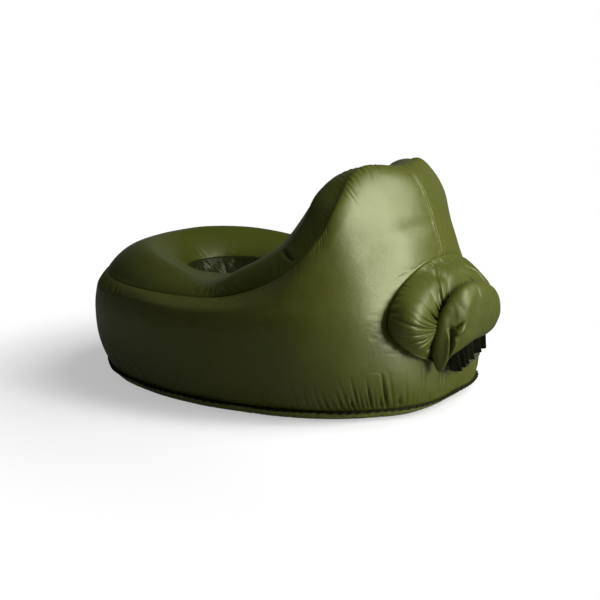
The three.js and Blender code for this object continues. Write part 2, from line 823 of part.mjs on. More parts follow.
function neckPanel() {
  const grid = makeGrid(NECK_ROWS + 1, NECK_COLUMNS + 1, (row, column) =>
    neckSurface((Math.PI * column) / NECK_COLUMNS, row / NECK_ROWS),
  );
  const normals = gridNormals(grid, false);
  const planeward = (row, column) => {
    const inward = normals[row][column].clone().negate();
    inward.x = 0;
    return inward.normalize();
  };
  return skin(grid, {
    firstRow: (column) => rootInward((Math.PI * column) / NECK_COLUMNS),
    firstColumn: (row) => (row === 0 ? rootInward(0) : planeward(row, 0)),
    lastColumn: (row) => (row === 0 ? rootInward(Math.PI) : planeward(row, NECK_COLUMNS)),
  });
}

// The flattened mouth that leads from the neck into the roll.
function mouthFold() {
  const length = 2 * MOUTH_LENGTH;
  const geometry = new THREE.BoxGeometry(FOLD_WIDTH, length, FOLD_THICKNESS);
  return geometry.translate(0, foldEnd - length / 2, neckLevel);
}

function closureRoll() {
  const sections = stepsBetween(ROLL_STEPS, -1, 1).map((share) => {
    const { across, top, foot, depth } = rollAt(share);
    return Array.from({ length: ROLL_SIDES }, (_, side) => {
      const angle = (2 * Math.PI * side) / ROLL_SIDES;
      const height = (top + foot) / 2 + ((top - foot) * Math.sin(angle)) / 2;
      return new THREE.Vector3(across, rollMiddle(height) + depth * Math.cos(angle), height);
    });
  });
  return sweptGeometry(sections);
}

// The height of the roll's foot over a place across it, read along its facets.
function rollFootAt(across) {
  const feet = stepsBetween(ROLL_STEPS, -1, 1).map(rollAt);
  const later = feet.findIndex((section) => section.across >= across);
  const [before, after] = [feet[later - 1], feet[later]];
  return THREE.MathUtils.mapLinear(across, before.across, after.across, before.foot, after.foot);
}

// The mouth's hem hangs under the roll in pleats, drawn in towards a lower edge that zigzags.
function mouthHem() {
  const columns = HEM_PLEATS * PLEAT_STEPS + 1;
  const grid = makeGrid(HEM_ROW_SHARES.length, columns, (row, column) => {
    const down = HEM_ROW_SHARES[row];
    const width = HEM_WIDTH + down * (HEM_FOOT_WIDTH - HEM_WIDTH);
    const across = column / (columns - 1) - 1 / 2;
    const wave = Math.cos((2 * Math.PI * column) / PLEAT_STEPS);
    const top = rollFootAt(HEM_WIDTH * across) - FIT_GAP;
    const bottom = hemLevel + HEM_ZIGZAG * wave;
    return new THREE.Vector3(width * across, rollFootBack - HEM_WAVE * wave, top + down * (bottom - top));
  });
  return skin(grid, { thickness: HEM_THICKNESS });
}

function roundedOutline(left, right, width) {
  const radius = BUCKLE_CORNER;
  const half = width / 2;
  return new THREE.Shape()
    .moveTo(left + radius, -half)
    .lineTo(right - radius, -half)
    .quadraticCurveTo(right, -half, right, -half + radius)
    .lineTo(right, half - radius)
    .quadraticCurveTo(right, half, right - radius, half)
    .lineTo(left + radius, half)
    .quadraticCurveTo(left, half, left, half - radius)
    .lineTo(left, -half + radius)
    .quadraticCurveTo(left, -half, left + radius, -half);
}

function slab(shape, thickness) {
  const geometry = new THREE.ExtrudeGeometry(shape, { depth: thickness, bevelEnabled: false, curveSegments: 4 });
  return geometry.translate(0, 0, -thickness / 2);
}

function block(left, right, width, thickness) {
  return new THREE.BoxGeometry(right - left, width, thickness).translate((left + right) / 2, 0, 0);
}

function toSolid(geometry) {
  const bare = geometry.clone();
  bare.deleteAttribute("normal");
  bare.deleteAttribute("uv");
  const merged = mergeVertices(bare, DECIMALS);
  return new wasm.Manifold(
    new wasm.Mesh({
      numProp: 3,
      vertProperties: new Float32Array(merged.attributes.position.array),
      triVerts: new Uint32Array(merged.index.array),
    }),
  );
}

function fromSolid(solid) {
  const mesh = solid.getMesh();
  const geometry = new THREE.BufferGeometry();
  geometry.setAttribute("position", new THREE.BufferAttribute(mesh.vertProperties, 3));
  geometry.setIndex(new THREE.BufferAttribute(mesh.triVerts, 1));
  geometry.computeVertexNormals();
  return geometry;
}

// The buckle stands between the hem and the body: its length runs across the chair, its width is upright. It is
// built lying flat, with its width along Y.
const buckleLeft = -(SOCKET_LENGTH + FIT_GAP + PLUG_LENGTH) / 2;
const buckleRight = -buckleLeft;
const socketMouth = buckleLeft + SOCKET_LENGTH;
const plugFace = socketMouth + FIT_GAP;
const cavityWidth = BUCKLE_WIDTH - 2 * SOCKET_WALL;
const cavityHeight = BUCKLE_THICKNESS - 2 * SOCKET_FACE;
const memberHeight = cavityHeight - 2 * FIT_GAP;
const slotWidth = WEBBING_WIDTH + 2 * FIT_GAP;

function webbingSlot(outerEnd, inwardSign) {
  const near = outerEnd + inwardSign * SLOT_BAR;
  const far = near + inwardSign * SLOT_LENGTH;
  return toSolid(block(Math.min(near, far), Math.max(near, far), slotWidth, 2 * BUCKLE_THICKNESS));
}

function buckleSocket() {
  const windowEnd = socketMouth - CAVITY_LENGTH + WINDOW_LENGTH;
  const solid = toSolid(slab(roundedOutline(buckleLeft, socketMouth, BUCKLE_WIDTH), BUCKLE_THICKNESS))
    .subtract(toSolid(block(socketMouth - CAVITY_LENGTH, socketMouth + OVERRUN, cavityWidth, cavityHeight)))
    .subtract(toSolid(block(socketMouth - CAVITY_LENGTH, windowEnd, BUCKLE_WIDTH + 2 * OVERRUN, cavityHeight)))
    .subtract(webbingSlot(buckleLeft, 1));
  return fromSolid(solid);
}

function bucklePlug() {
  const tongueTip = socketMouth - CAVITY_LENGTH + 2 * FIT_GAP;
  const solid = toSolid(slab(roundedOutline(plugFace, buckleRight, BUCKLE_WIDTH), BUCKLE_THICKNESS))
    .add(toSolid(block(tongueTip, plugFace + OVERRUN, TONGUE_WIDTH, memberHeight)))
    .subtract(webbingSlot(buckleRight, -1));
  return fromSolid(solid);
}

// A prong runs from the plug's face into the socket and catches in the window behind its sloped barb.
function buckleProng(side) {
  const outside = cavityWidth / 2 - FIT_GAP;
  const inside = outside - PRONG_THICKNESS;
  const shoulder = socketMouth - CAVITY_LENGTH + WINDOW_LENGTH - FIT_GAP;
  const tip = socketMouth - CAVITY_LENGTH + FIT_GAP;
  const heel = plugFace - FIT_GAP / 2;
  const barb = BUCKLE_WIDTH / 2 - FIT_GAP;
  const shape = new THREE.Shape()
    .moveTo(heel, inside)
    .lineTo(heel, outside)
    .lineTo(shoulder, outside)
    .lineTo(shoulder, barb)
    .lineTo(tip, (inside + outside) / 2)
    .lineTo(tip, inside)
    .lineTo(heel, inside);
  const geometry = slab(shape, memberHeight);
  if (side > 0) return geometry;
  return geometry.rotateX(Math.PI);
}

// Webbing from the end of a buckle half to the front of the hem's end pleat, hanging a little slack.
function tailStrap() {
  const level = buckleLevel + STRAP_RISE;
  const down = (rollFoot - level) / (rollFoot - hemLevel);
  const width = HEM_WIDTH + down * (HEM_FOOT_WIDTH - HEM_WIDTH);
  const hemFront = rollFootBack - HEM_WAVE - HEM_THICKNESS;
  const start = new THREE.Vector3(buckleRight + FIT_GAP, rearFace + BUCKLE_STANDOFF, buckleLevel);
  const end = new THREE.Vector3(width / 2, hemFront - FIT_GAP - WEBBING_THICKNESS / 2, level);
  const sections = stepsBetween(STRAP_STEPS, 0, 1).map((share) => {
    const middle = start.clone().lerp(end, share);
    middle.z -= STRAP_SAG * Math.sin(Math.PI * share);
    const corner = (thick, wide) =>
      middle.clone().add(new THREE.Vector3(0, (thick * WEBBING_THICKNESS) / 2, (wide * WEBBING_WIDTH) / 2));
    return [corner(-1, -1), corner(1, -1), corner(1, 1), corner(-1, 1)];
  });
  return sweptGeometry(sections);
}

const root = new THREE.Group();

function addPiece(parent, name, geometry, material) {
  const mesh = new THREE.Mesh(geometry, material);
  mesh.name = name;
  parent.add(mesh);
  return mesh;
}

function addPair(parent, name, geometry, color) {
  addPiece(parent, `${name}_left`, geometry, fabric(color));
  addPiece(parent, `${name}_right`, mirroredGeometry(geometry), fabric(color));
}

function addBody(parent) {
  addPair(parent, "outer_panel", outerPanel(), COLOURS.outer);
  addPiece(parent, "seat_back_panel", seatBackPanel(), fabric(COLOURS.inner));
  addPiece(parent, "well_cover", wellCover(), fabric(COLOURS.inner));
  addPiece(parent, "well_sleeve", wellSleeve(), fabric(COLOURS.base));
  addPiece(parent, "base_panel", basePanel(), fabric(COLOURS.base));
  addPiece(parent, "base_welt", baseWelt(), fabric(COLOURS.trim));
}

function addTapes(parent) {
  addPair(parent, "top_seam_tape", topSeamTape(), COLOURS.tape);
  addPair(parent, "neck_root_tape", rootTape(), COLOURS.tape);
  addPiece(parent, "front_seam_tape", planeSeamTape(0, ...FRONT_TAPE_SHARES), fabric(COLOURS.tape));
  const upper = [highRise + TAPE_END_SHARE, 1 - TAPE_END_SHARE];
  addPiece(parent, "rear_seam_tape_upper", planeSeamTape(1, ...upper), fabric(COLOURS.tape));
}

function addNeck(parent) {
  addPair(parent, "neck_panel", neckPanel(), COLOURS.outer);
  addPiece(parent, "mouth_fold", mouthFold(), fabric(COLOURS.inner));
  addPiece(parent, "closure_roll", closureRoll(), fabric(COLOURS.outer));
  addPiece(parent, "mouth_hem", mouthHem(), fabric(COLOURS.trim));
}

function addBuckle(parent) {
  const buckle = new THREE.Group();
  buckle.position.set(0, rearFace + BUCKLE_STANDOFF, buckleLevel);
  buckle.rotation.x = Math.PI / 2;
  addPiece(buckle, "buckle_socket", buckleSocket(), moulded(COLOURS.plastic));
  addPiece(buckle, "buckle_plug", bucklePlug(), moulded(COLOURS.plastic));
  addPiece(buckle, "buckle_prong_upper", buckleProng(1), moulded(COLOURS.plastic));
  addPiece(buckle, "buckle_prong_lower", buckleProng(-1), moulded(COLOURS.plastic));
  parent.add(buckle);
  addPair(parent, "tail_strap", tailStrap(), COLOURS.trim);
}

const chair = new THREE.Group();
addBody(chair);
addTapes(chair);
addNeck(chair);
addBuckle(chair);
root.add(chair);

// The chair's origin lies on the floor under the middle of its whole length.
const reach = new THREE.Box3().setFromObject(chair);
chair.position.y = -(reach.min.y + reach.max.y) / 2;

export default root;
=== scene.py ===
"""An air-filled lounge chair for a child: its fabric, trim and buckle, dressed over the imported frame.

The air body is two outer walls, one seat-and-back panel and a base, blown taut so that every seam puckers. A
pillow of a filling neck stands out of the rear, and its mouth is rolled into a cushion with a pleated hem
under it. Sizes are in millimetres and become metres when a mesh is made. Front is -Y, the sitter's left is
+X, up is +Z.
"""

import logging
import math
from dataclasses import dataclass, field, replace
from enum import Enum
from typing import Callable

import bpy
import numpy as np
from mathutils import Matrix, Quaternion, Vector


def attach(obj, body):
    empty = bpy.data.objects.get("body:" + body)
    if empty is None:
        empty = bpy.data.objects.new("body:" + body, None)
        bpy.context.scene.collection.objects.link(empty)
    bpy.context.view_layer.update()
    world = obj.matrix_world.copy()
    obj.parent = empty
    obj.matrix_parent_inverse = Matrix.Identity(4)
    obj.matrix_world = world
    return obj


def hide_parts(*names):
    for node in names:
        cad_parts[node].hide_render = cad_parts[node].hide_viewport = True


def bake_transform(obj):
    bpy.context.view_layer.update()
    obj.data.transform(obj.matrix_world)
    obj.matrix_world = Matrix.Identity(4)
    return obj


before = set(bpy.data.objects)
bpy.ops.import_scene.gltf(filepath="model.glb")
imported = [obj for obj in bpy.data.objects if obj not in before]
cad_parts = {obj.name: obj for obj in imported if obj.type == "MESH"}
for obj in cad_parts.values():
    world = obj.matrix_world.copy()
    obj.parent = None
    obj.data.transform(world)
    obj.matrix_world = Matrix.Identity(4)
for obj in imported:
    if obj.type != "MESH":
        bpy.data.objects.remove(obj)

MM = 0.001
LOG = logging.getLogger("lounge_chair")

Array = np.ndarray
Surface = Callable[[Array, Array], Array]


class Side(Enum):
    """The two mirrored halves of the chair."""

    LEFT = 1
    RIGHT = -1

    @property
    def suffix(self) -> str:
        """The ending of this half's piece names."""
        return self.name.lower()

    def place(self, points: Array) -> Array:
        """Points of the left half, set on this side of the chair's middle plane."""
        return points * np.array([self.value, 1, 1])


# Curves, grids and relief


def spline_weights(w: Array) -> tuple[Array, Array, Array, Array]:
    """The four Catmull-Rom weights at each place in a span: the standard cubic through equal steps.

    Args:
        w: places from the span's start at 0 to its end at 1.

    Returns:
        The weights of the point before the span, its two ends and the point after it.
    """
    return (
        (-w + 2 * w**2 - w**3) / 2,
        (2 - 5 * w**2 + 3 * w**3) / 2,
        (w + 4 * w**2 - 3 * w**3) / 2,
        (w**3 - w**2) / 2,
    )


def shared_spline(points: Array, before: Array, after: Array, share: Array) -> Array:
    """Reads one Catmull-Rom curve at many places.

    Args:
        points: control points, (count, ...).
        before: the point that stands in before the first one.
        after: the point that stands in after the last one.
        share: places along the curve from 0 to 1, (n,).

    Returns:
        One point per share, (n, ...).
    """
    padded = np.concatenate([before[None], points, after[None]])
    spans = len(points) - 1
    at = np.clip(share, 0, 1) * spans
    span = np.minimum(at.astype(int), spans - 1)
    weights = spline_weights(at - span)
    shape = (-1,) + (1,) * (points.ndim - 1)
    return sum(weight.reshape(shape) * padded[span + step] for step, weight in enumerate(weights))


def own_spline(points: Array, before: Array, after: Array, share: Array) -> Array:
    """Reads a Catmull-Rom curve of its own for each place.

    Args:
        points: control points of each curve, (n, count, 3).
        before: the point before each curve's first one, (n, 3).
        after: the point after each curve's last one, (n, 3).
        share: one place on each curve from 0 to 1, (n,).

    Returns:
        One point per curve, (n, 3).
    """
    padded = np.concatenate([before[:, None], points, after[:, None]], axis=1)
    spans = points.shape[1] - 1
    at = np.clip(share, 0, 1) * spans
    span = np.minimum(at.astype(int), spans - 1)
    weights = spline_weights(at - span)
    rows = np.arange(len(points))
    return sum(weight[:, None] * padded[rows, span + step] for step, weight in enumerate(weights))


def carried_on(a: Array, b: Array, c: Array) -> Array:
    """The point before a that carries the bend of a, b and c on: 3 times a, less 3 times b, plus c."""
    return 3 * a - 3 * b + c


def unit(vectors: Array) -> Array:
    """Vectors along the last axis at length 1."""
    length = np.linalg.norm(vectors, axis=-1, keepdims=True)
    return vectors / np.maximum(length, 1e-9)


def grid_normals(points: Array, closed: bool = False) -> Array:
    """Normals of a grid: the cross product of its steps along a row and along a column.

    Args:
        points: grid of points, (rows, columns, 3).
        closed: True where the last column is followed by the first.

    Returns:
        Unit normals, (rows, columns, 3).
    """
    if closed:
        wide = np.concatenate([points[:, -1:], points, points[:, :1]], axis=1)
        along = (wide[:, 2:] - wide[:, :-2]) / 2
    else:
        along = np.gradient(points, axis=1)
    return unit(np.cross(along, np.gradient(points, axis=0)))


def run_length(points: Array, axis: int) -> Array:
    """Distance walked over a grid from its first row or column.

    Args:
        points: grid of points, (rows, columns, 3).
        axis: 0 to walk from row to row, 1 to walk along a row.

    Returns:
        Distance in millimetres, (rows, columns).
    """
    steps = np.linalg.norm(np.diff(points, axis=axis), axis=-1)
    start = np.zeros_like(np.take(steps, [0], axis=axis))
    return np.concatenate([start, np.cumsum(steps, axis=axis)], axis=axis)


def bump_at(values: Array, middle: float, width: float) -> Array:
    """A bell of height 1 round a middle value: e to the minus square of the distance over the width."""
    return np.exp(-(((values - middle) / width) ** 2))


def ripple(points: Array, wavelength: float, seed: int, waves: int = 12) -> Array:
    """Soft unevenness of about -1 to 1: plane cosine waves of random directions and phases, added up.

    Args:
        points: places in millimetres, (..., 3).
        wavelength: mean distance between crests, in millimetres.
        seed: fixes the directions.
        waves: how many waves are added.

    Returns:
        One value per place.
    """
    chance = np.random.default_rng(seed)
    heading = unit(chance.normal(size=(waves, 3)))
    pace = 2 * np.pi / (wavelength * chance.uniform(0.7, 1.5, waves))
    phase = chance.uniform(0, 2 * np.pi, waves)
    return np.cos(points @ (heading * pace[:, None]).T + phase).sum(axis=-1) / math.sqrt(2 * waves)


def crumple(points: Array, size: float, seed: int, folds: int = 9) -> Array:
    """Sharp random folds: the mean of |sine| over random directions, at places that ripples have bent.

    Args:
        points: places in millimetres, (..., 3).
        size: distance between creases in millimetres, drawn out up to 2.2 times.
        seed: fixes the directions.
        folds: how many directions are taken.

    Returns:
        One value per place, 0 on a crease to about 1 between creases.
    """
    chance = np.random.default_rng(seed)
    heading = unit(chance.normal(size=(folds, 3)))
    pace = np.pi / (size * chance.uniform(0.8, 2.2, folds))
    phase = chance.uniform(0, np.pi, folds)
    bent = points + 0.35 * size * np.stack([ripple(points, 3 * size, seed + k) for k in range(3)], axis=-1)
    return np.abs(np.sin(bent @ (heading * pace[:, None]).T + phase)).mean(axis=-1)


def crease(points: Array, start: Array, end: Array, width: float) -> Array:
    """A valley of depth 1 along a straight line: a bell of the distance to it, tapered at its ends.

    Args:
        points: places in millimetres, (..., k).
        start: where the crease begins, (k,).
        end: where it ends, (k,).
        width: half width of the valley.

    Returns:
        Depth from 0 to 1 at each place.
    """
    run = np.asarray(end, float) - np.asarray(start, float)
    share = ((points - start) @ run) / (run @ run)
    held = np.clip(share, 0, 1)
    gap = np.linalg.norm(points - start - held[..., None] * run, axis=-1)
    return np.exp(-((gap / width) ** 2)) * np.sin(np.pi * np.clip(held * 0.92 + 0.04, 0, 1)) ** 0.6


CREASES = 2048
CREASE_LENGTHS = (0.4, 1.35)
CREASE_DEPTHS = (0.15, 1.0)


@dataclass(frozen=True)
class Gathers:
    """Creases that run off a seam where its stitches draw the fabric in.

    Crease k lies where along over the pitch is near k. It is a bell across and x times e to the (1 - x
    squared) / 2 along, where x is the distance from the seam over its reach; each crease has a reach and a
    depth of its own. Slow sines of the run along the seam make the gaps between creases uneven and lean them
    over.
    """

    pitch: float
    reach: float
    depth: float
    seed: int
    width_share: float = 0.24
    lean: float = 0.5

    def relief(self, along: Array, away: Array) -> Array:
        """Depth of the creases below the smooth surface.

        Args:
            along: run along the seam, in the unit of the pitch.
            away: distance from the seam, in the unit of the reach.

        Returns:
            Negative heights in millimetres.
        """
        chance = np.random.default_rng(self.seed)
        lengths = chance.uniform(*CREASE_LENGTHS, CREASES)
        depths = chance.uniform(*CREASE_DEPTHS, CREASES)
        steps = along / self.pitch
        drift = 0.45 * np.sin(steps / 3.1 + self.seed) + 0.3 * np.sin(steps / 1.7)
        swing = self.lean * np.sin(steps / 6.3 + 2 * self.seed) * away / self.reach
        phase = steps + drift + swing
        nearest = np.rint(phase)
        number = nearest.astype(int) % CREASES
        x = away / (self.reach * lengths[number])
        across = np.exp(-(((phase - nearest) / self.width_share) ** 2))
        return -self.depth * depths[number] * across * x * np.exp((1 - x * x) / 2)

    def at(self, edge: "Edge") -> Array:
        """Depth below the smooth surface over a panel, for creases that run off one of its seams."""
        return self.relief(edge.along, edge.away)


def spots_at(turn: Array, spots: tuple, floor: float = 0.0) -> Array:
    """How strong something is at each turn: a floor and a bell for each (strength, middle, width)."""
    return sum((strength * bump_at(turn, middle, width) for strength, middle, width in spots), floor)


def ripples(points: Array, *waves: tuple[float, float, int]) -> Array:
    """Ripples added up, each from its height, its wavelength and its seed."""
    return sum(height * ripple(points, wavelength, seed) for height, wavelength, seed in waves)


def mirrored_where(right: Array) -> Array:
    """Factors that mirror x in the middle plane: -1 where a place is on the right half, 1 elsewhere."""
    sign = np.where(right, -1, 1)
    return np.stack([sign, np.ones_like(sign), np.ones_like(sign)], axis=-1)


def make_piece(
    name: str,
    points: Array,
    finish: "Finish",
    closed: bool = False,
    start_pole: bool = False,
    end_pole: bool = False,
    flip: bool = False,
) -> bpy.types.Object:
    """Makes a mesh object from a grid of points, with its cloth's own run in metres as the UV map.

    Args:
        name: the piece's name.
        points: grid in millimetres, (rows, columns, 3).
        finish: what it is made of.
        closed: True where the last column joins the first.
        start_pole: True where the first row is one point.
        end_pole: True where the last row is one point.
        flip: True turns the faces round.

    Returns:
        The object, linked to the scene, with its place in its mesh.
    """
    rows, columns = points.shape[:2]
    looped = np.concatenate([points, points[:, :1]], axis=1) if closed else points
    u = run_length(looped, 1)
    u = np.broadcast_to(u[u[:, -1].argmax()], looped.shape[:2])
    uv = np.stack([u, run_length(looped, 0)], axis=-1) * MM
    row, column = np.mgrid[0 : rows - 1, 0 : looped.shape[1] - 1]
    after = (column + 1) % columns
    low, high = row * columns, (row + 1) * columns
    corners = np.stack([low + column, low + after, high + after, high + column], -1)
    corner_uv = np.stack(
        [uv[row, column], uv[row, column + 1], uv[row + 1, column + 1], uv[row + 1, column]], axis=-2
    )
    co = points.reshape(-1, 3) * MM
    if start_pole:
        corners[corners < columns] = 0
    if end_pole:
        corners[corners >= (rows - 1) * columns] = (rows - 1) * columns
    quads, quad_uv = corners.reshape(-1, 4), corner_uv.reshape(-1, 4, 2)
    if flip:
        quads, quad_uv = quads[:, ::-1], quad_uv[:, ::-1]
    starts, vertices, loops_uv = [], [], []
    total = 0
    for corner_count, faces, faces_uv in split_faces(quads, quad_uv):
        starts.append(total + corner_count * np.arange(len(faces)))
        vertices.append(faces.ravel())
        loops_uv.append(faces_uv.reshape(-1, 2))
        total += corner_count * len(faces)
    vertices = np.concatenate(vertices)
    used, vertices = np.unique(vertices, return_inverse=True)
    mesh = bpy.data.meshes.new(name)
    mesh.vertices.add(len(used))
    mesh.vertices.foreach_set("co", co[used].ravel())
    mesh.loops.add(len(vertices))
    mesh.loops.foreach_set("vertex_index", vertices.astype(np.int32))
    starts = np.concatenate(starts)
    mesh.polygons.add(len(starts))
    mesh.polygons.foreach_set("loop_start", starts.astype(np.int32))
    mesh.uv_layers.new(name="cloth").uv.foreach_set("vector", np.concatenate(loops_uv).ravel())
    mesh.update(calc_edges=True)
    mesh.validate()
    mesh.shade_smooth()
    obj = bpy.data.objects.new(name, mesh)
    bpy.context.scene.collection.objects.link(obj)
    mesh.materials.append(finish.material())
    LOG.info("%s: %d faces", name, len(starts))
    return obj


def split_faces(quads: Array, quad_uv: Array) -> list[tuple[int, Array, Array]]:
    """Parts faces into quads and the triangles round a pole, where two corners of a quad are one.

    Args:
        quads: vertex numbers, (faces, 4).
        quad_uv: the UV place of each corner, (faces, 4, 2).

    Returns:
        Groups, each of a number of corners, its faces and their UV places.
    """
    doubled = quads == np.roll(quads, -1, axis=1)
    whole = ~doubled.any(axis=1)
    groups = [(4, quads[whole], quad_uv[whole])]
    for corner in range(4):
        hit = doubled[:, corner] & ~whole
        if hit.any():
            groups.append((3, np.delete(quads[hit], corner, axis=1), np.delete(quad_uv[hit], corner, axis=1)))
    return groups


def add_modifier(obj: bpy.types.Object, kind: str, **settings: object) -> None:
    """Adds a modifier to an object.

    Args:
        obj: the object.
        kind: the modifier's type name.
        settings: attributes of the modifier.
    """
    modifier = obj.modifiers.new(kind.title(), kind)
    for key, value in settings.items():
        setattr(modifier, key, value)


# Finishes


def srgb(code: int) -> tuple[float, float, float, float]:
    """A hex colour in linear light: the sRGB curve undone channel by channel.

    Args:
        code: the colour, as 0xRRGGBB.

    Returns:
        Red, green, blue and alpha.
    """
    channels = [((code >> shift) & 255) / 255 for shift in (16, 8, 0)]
    linear = [c / 12.92 if c <= 0.04045 else ((c + 0.055) / 1.055) ** 2.4 for c in channels]
    return (*linear, 1.0)


def add_node(
    tree: bpy.types.NodeTree, kind: str, links: dict | None = None, **settings: object
) -> bpy.types.Node:
    """Adds a shader node.

    Args:
        tree: the node tree.
        kind: the node's type name.
        links: input name or number to the socket that feeds it, or to a plain value.
        settings: attributes of the node.

    Returns:
        The node.
    """
    node = tree.nodes.new(kind)
    for key, value in settings.items():
        setattr(node, key, value)
    for key, value in (links or {}).items():
        if isinstance(value, bpy.types.NodeSocket):
            tree.links.new(value, node.inputs[key])
        else:
            node.inputs[key].default_value = value
    return node


@dataclass(frozen=True)
class Finish:
    """A finish, made into a node material once and then reused."""

    name: str
    colour: int

    def material(self) -> bpy.types.Material:
        """The finish as a node material, made when it is first asked for.

        Returns:
            The material.
        """
        found = bpy.data.materials.get(self.name)
        if found:
            return found
        made = bpy.data.materials.new(self.name)
        made.use_nodes = True
        self.paint(made.node_tree, made.node_tree.nodes["Principled BSDF"])
        return made

    def paint(self, tree: bpy.types.NodeTree, shader: bpy.types.Node) -> None:
        """Sets the shader up; each kind of finish has its own way."""
        raise NotImplementedError


@dataclass(frozen=True)
class FabricFinish(Finish):
    """Coated polyester taffeta: a dense plain weave with a film on its back, and so a smooth satin sheen.

    Its threads are 0.2 mm apart, too fine to show, so they are drawn 1.4 mm apart as a faint bump. Long slubs
    along the weft and the film's slow unevenness vary the sheen, and fine crinkles break the glints up.
    """

    shade: int
    glint: int = 0xC6CAA7
    roughness: float = 0.42
    roughness_spread: tuple = (-0.05, 0.07)
    gloss: float = 1.0
    bend: float = 1.66
    sheen: float = 0.02
    sheen_roughness: float = 0.35
    crinkle: float = 0.2
    crinkle_height: float = 2.2 * MM
    crinkles_per_metre: float = 42.0
    films_per_metre: float = 9.0
    least_tint: float = 0.12
    thread: float = 1.4 * MM
    thread_height: float = 0.3 * MM
    thread_strength: float = 0.1
    slub: float = 3.0 * MM
    slub_run: float = 70 * MM

    def paint(self, tree: bpy.types.NodeTree, shader: bpy.types.Node) -> None:
        """Mottles the colour and the sheen along the weft, and bumps the surface.

        Args:
            tree: the material's node tree.
            shader: its principled shader.
        """
        place = add_node(tree, "ShaderNodeTexCoord")
        slubs = add_node(
            tree,
            "ShaderNodeMapping",
            {"Vector": place.outputs["UV"], "Scale": (1 / self.slub_run, 1 / self.slub, 1)},
        )
        streak = add_node(
            tree, "ShaderNodeTexNoise", {"Vector": slubs.outputs[0], "Scale": 1.0, "Detail": 3.0}
        )
        film = add_node(
            tree,
            "ShaderNodeTexNoise",
            {"Vector": place.outputs["Object"], "Scale": self.films_per_metre, "Detail": 4.0},
        )
        mottle = add_node(
            tree,
            "ShaderNodeMath",
            {0: streak.outputs["Fac"], 1: film.outputs["Fac"], 2: self.least_tint},
            operation="MULTIPLY_ADD",
        )
        tint = add_node(
            tree,
            "ShaderNodeMix",
            {"Factor": mottle.outputs[0], 6: srgb(self.shade), 7: srgb(self.colour)},
            data_type="RGBA",
        )
        least, most = (self.roughness + spread for spread in self.roughness_spread)
        dullness = add_node(
            tree, "ShaderNodeMapRange", {"Value": streak.outputs["Fac"], "To Min": least, "To Max": most}
        )
        tree.links.new(tint.outputs[2], shader.inputs["Base Color"])
        tree.links.new(dullness.outputs[0], shader.inputs["Roughness"])
        tree.links.new(self.surface(tree, place), shader.inputs["Normal"])
        shader.inputs["Sheen Weight"].default_value = self.sheen
        shader.inputs["Sheen Roughness"].default_value = self.sheen_roughness
        shader.inputs["Sheen Tint"].default_value = srgb(self.glint)
        shader.inputs["Specular IOR Level"].default_value = self.gloss
        shader.inputs["IOR"].default_value = self.bend
        shader.inputs["Specular Tint"].default_value = srgb(self.glint)

    def surface(self, tree: bpy.types.NodeTree, place: bpy.types.Node) -> bpy.types.NodeSocket:
        """The bumped normal: noise for the crinkles, and the product of two crossed waves for the weave.

        Args:
            tree: the material's node tree.
            place: its texture coordinates.

        Returns:
            The normal.
        """
        crinkles = add_node(
            tree,
            "ShaderNodeTexNoise",
            {
                "Vector": place.outputs["Object"],
                "Scale": self.crinkles_per_metre,
                "Detail": 5.0,
                "Roughness": 0.45,
                "Distortion": 0.8,
            },
        )
        threads = {"Vector": place.outputs["UV"], "Scale": math.pi / 10 / self.thread}
        warp, weft = (
            add_node(tree, "ShaderNodeTexWave", threads, bands_direction=direction) for direction in "XY"
        )
        weave = add_node(
            tree, "ShaderNodeMath", {0: warp.outputs["Fac"], 1: weft.outputs["Fac"]}, operation="MULTIPLY"
        )
        coarse = add_node(
            tree,
            "ShaderNodeBump",
            {"Height": crinkles.outputs["Fac"], "Strength": self.crinkle, "Distance": self.crinkle_height},
        )
        fine = add_node(
            tree,
            "ShaderNodeBump",
            {
                "Height": weave.outputs[0],
                "Normal": coarse.outputs[0],
                "Strength": self.thread_strength,
                "Distance": self.thread_height,
            },
        )
        return fine.outputs[0]


@dataclass(frozen=True)
class MouldedFinish(Finish):
    """Injection-moulded acetal with a fine matte grain: a hard, slightly waxy plastic without gloss."""

    roughness: float = 0.42
    roughness_spread: float = 0.06
    grain: float = 0.6 * MM
    grain_height: float = 0.1 * MM
    grain_strength: float = 0.25

    def paint(self, tree: bpy.types.NodeTree, shader: bpy.types.Node) -> None:
        """Bumps the surface with its grain and varies the roughness with it.

        Args:
            tree: the material's node tree.
            shader: its principled shader.
        """
        place = add_node(tree, "ShaderNodeTexCoord")
        grain = add_node(
            tree,
            "ShaderNodeTexNoise",
            {"Vector": place.outputs["Object"], "Scale": 1 / self.grain, "Detail": 2.0},
        )
        bump = add_node(
            tree,
            "ShaderNodeBump",
            {"Height": grain.outputs["Fac"], "Strength": self.grain_strength, "Distance": self.grain_height},
        )
        least, most = self.roughness - self.roughness_spread, self.roughness + self.roughness_spread
        wear = add_node(
            tree, "ShaderNodeMapRange", {"Value": grain.outputs["Fac"], "To Min": least, "To Max": most}
        )
        tree.links.new(wear.outputs[0], shader.inputs["Roughness"])
        tree.links.new(bump.outputs[0], shader.inputs["Normal"])
        shader.inputs["Base Color"].default_value = srgb(self.colour)


# Taffeta, woven and coated, blown taut over the air body: a clear satin glint in a pale olive.
OUTER_TAFFETA = FabricFinish("coated_taffeta_outer", 0x4D520F, 0x41450B, gloss=0.9)
# The same cloth where it is slack, at the neck and the roll: its small creases spread the glint.
SLACK_TAFFETA = FabricFinish("coated_taffeta_slack", 0x4C5116, 0x3E430E, roughness=0.46, gloss=0.6)
# The same cloth, coloured a little darker, for the seat and the arms' inner faces: a deep olive with a quiet
# glint.
INNER_TAFFETA = FabricFinish("coated_taffeta_inner", 0x464C0B, 0x3B4108, gloss=0.45)
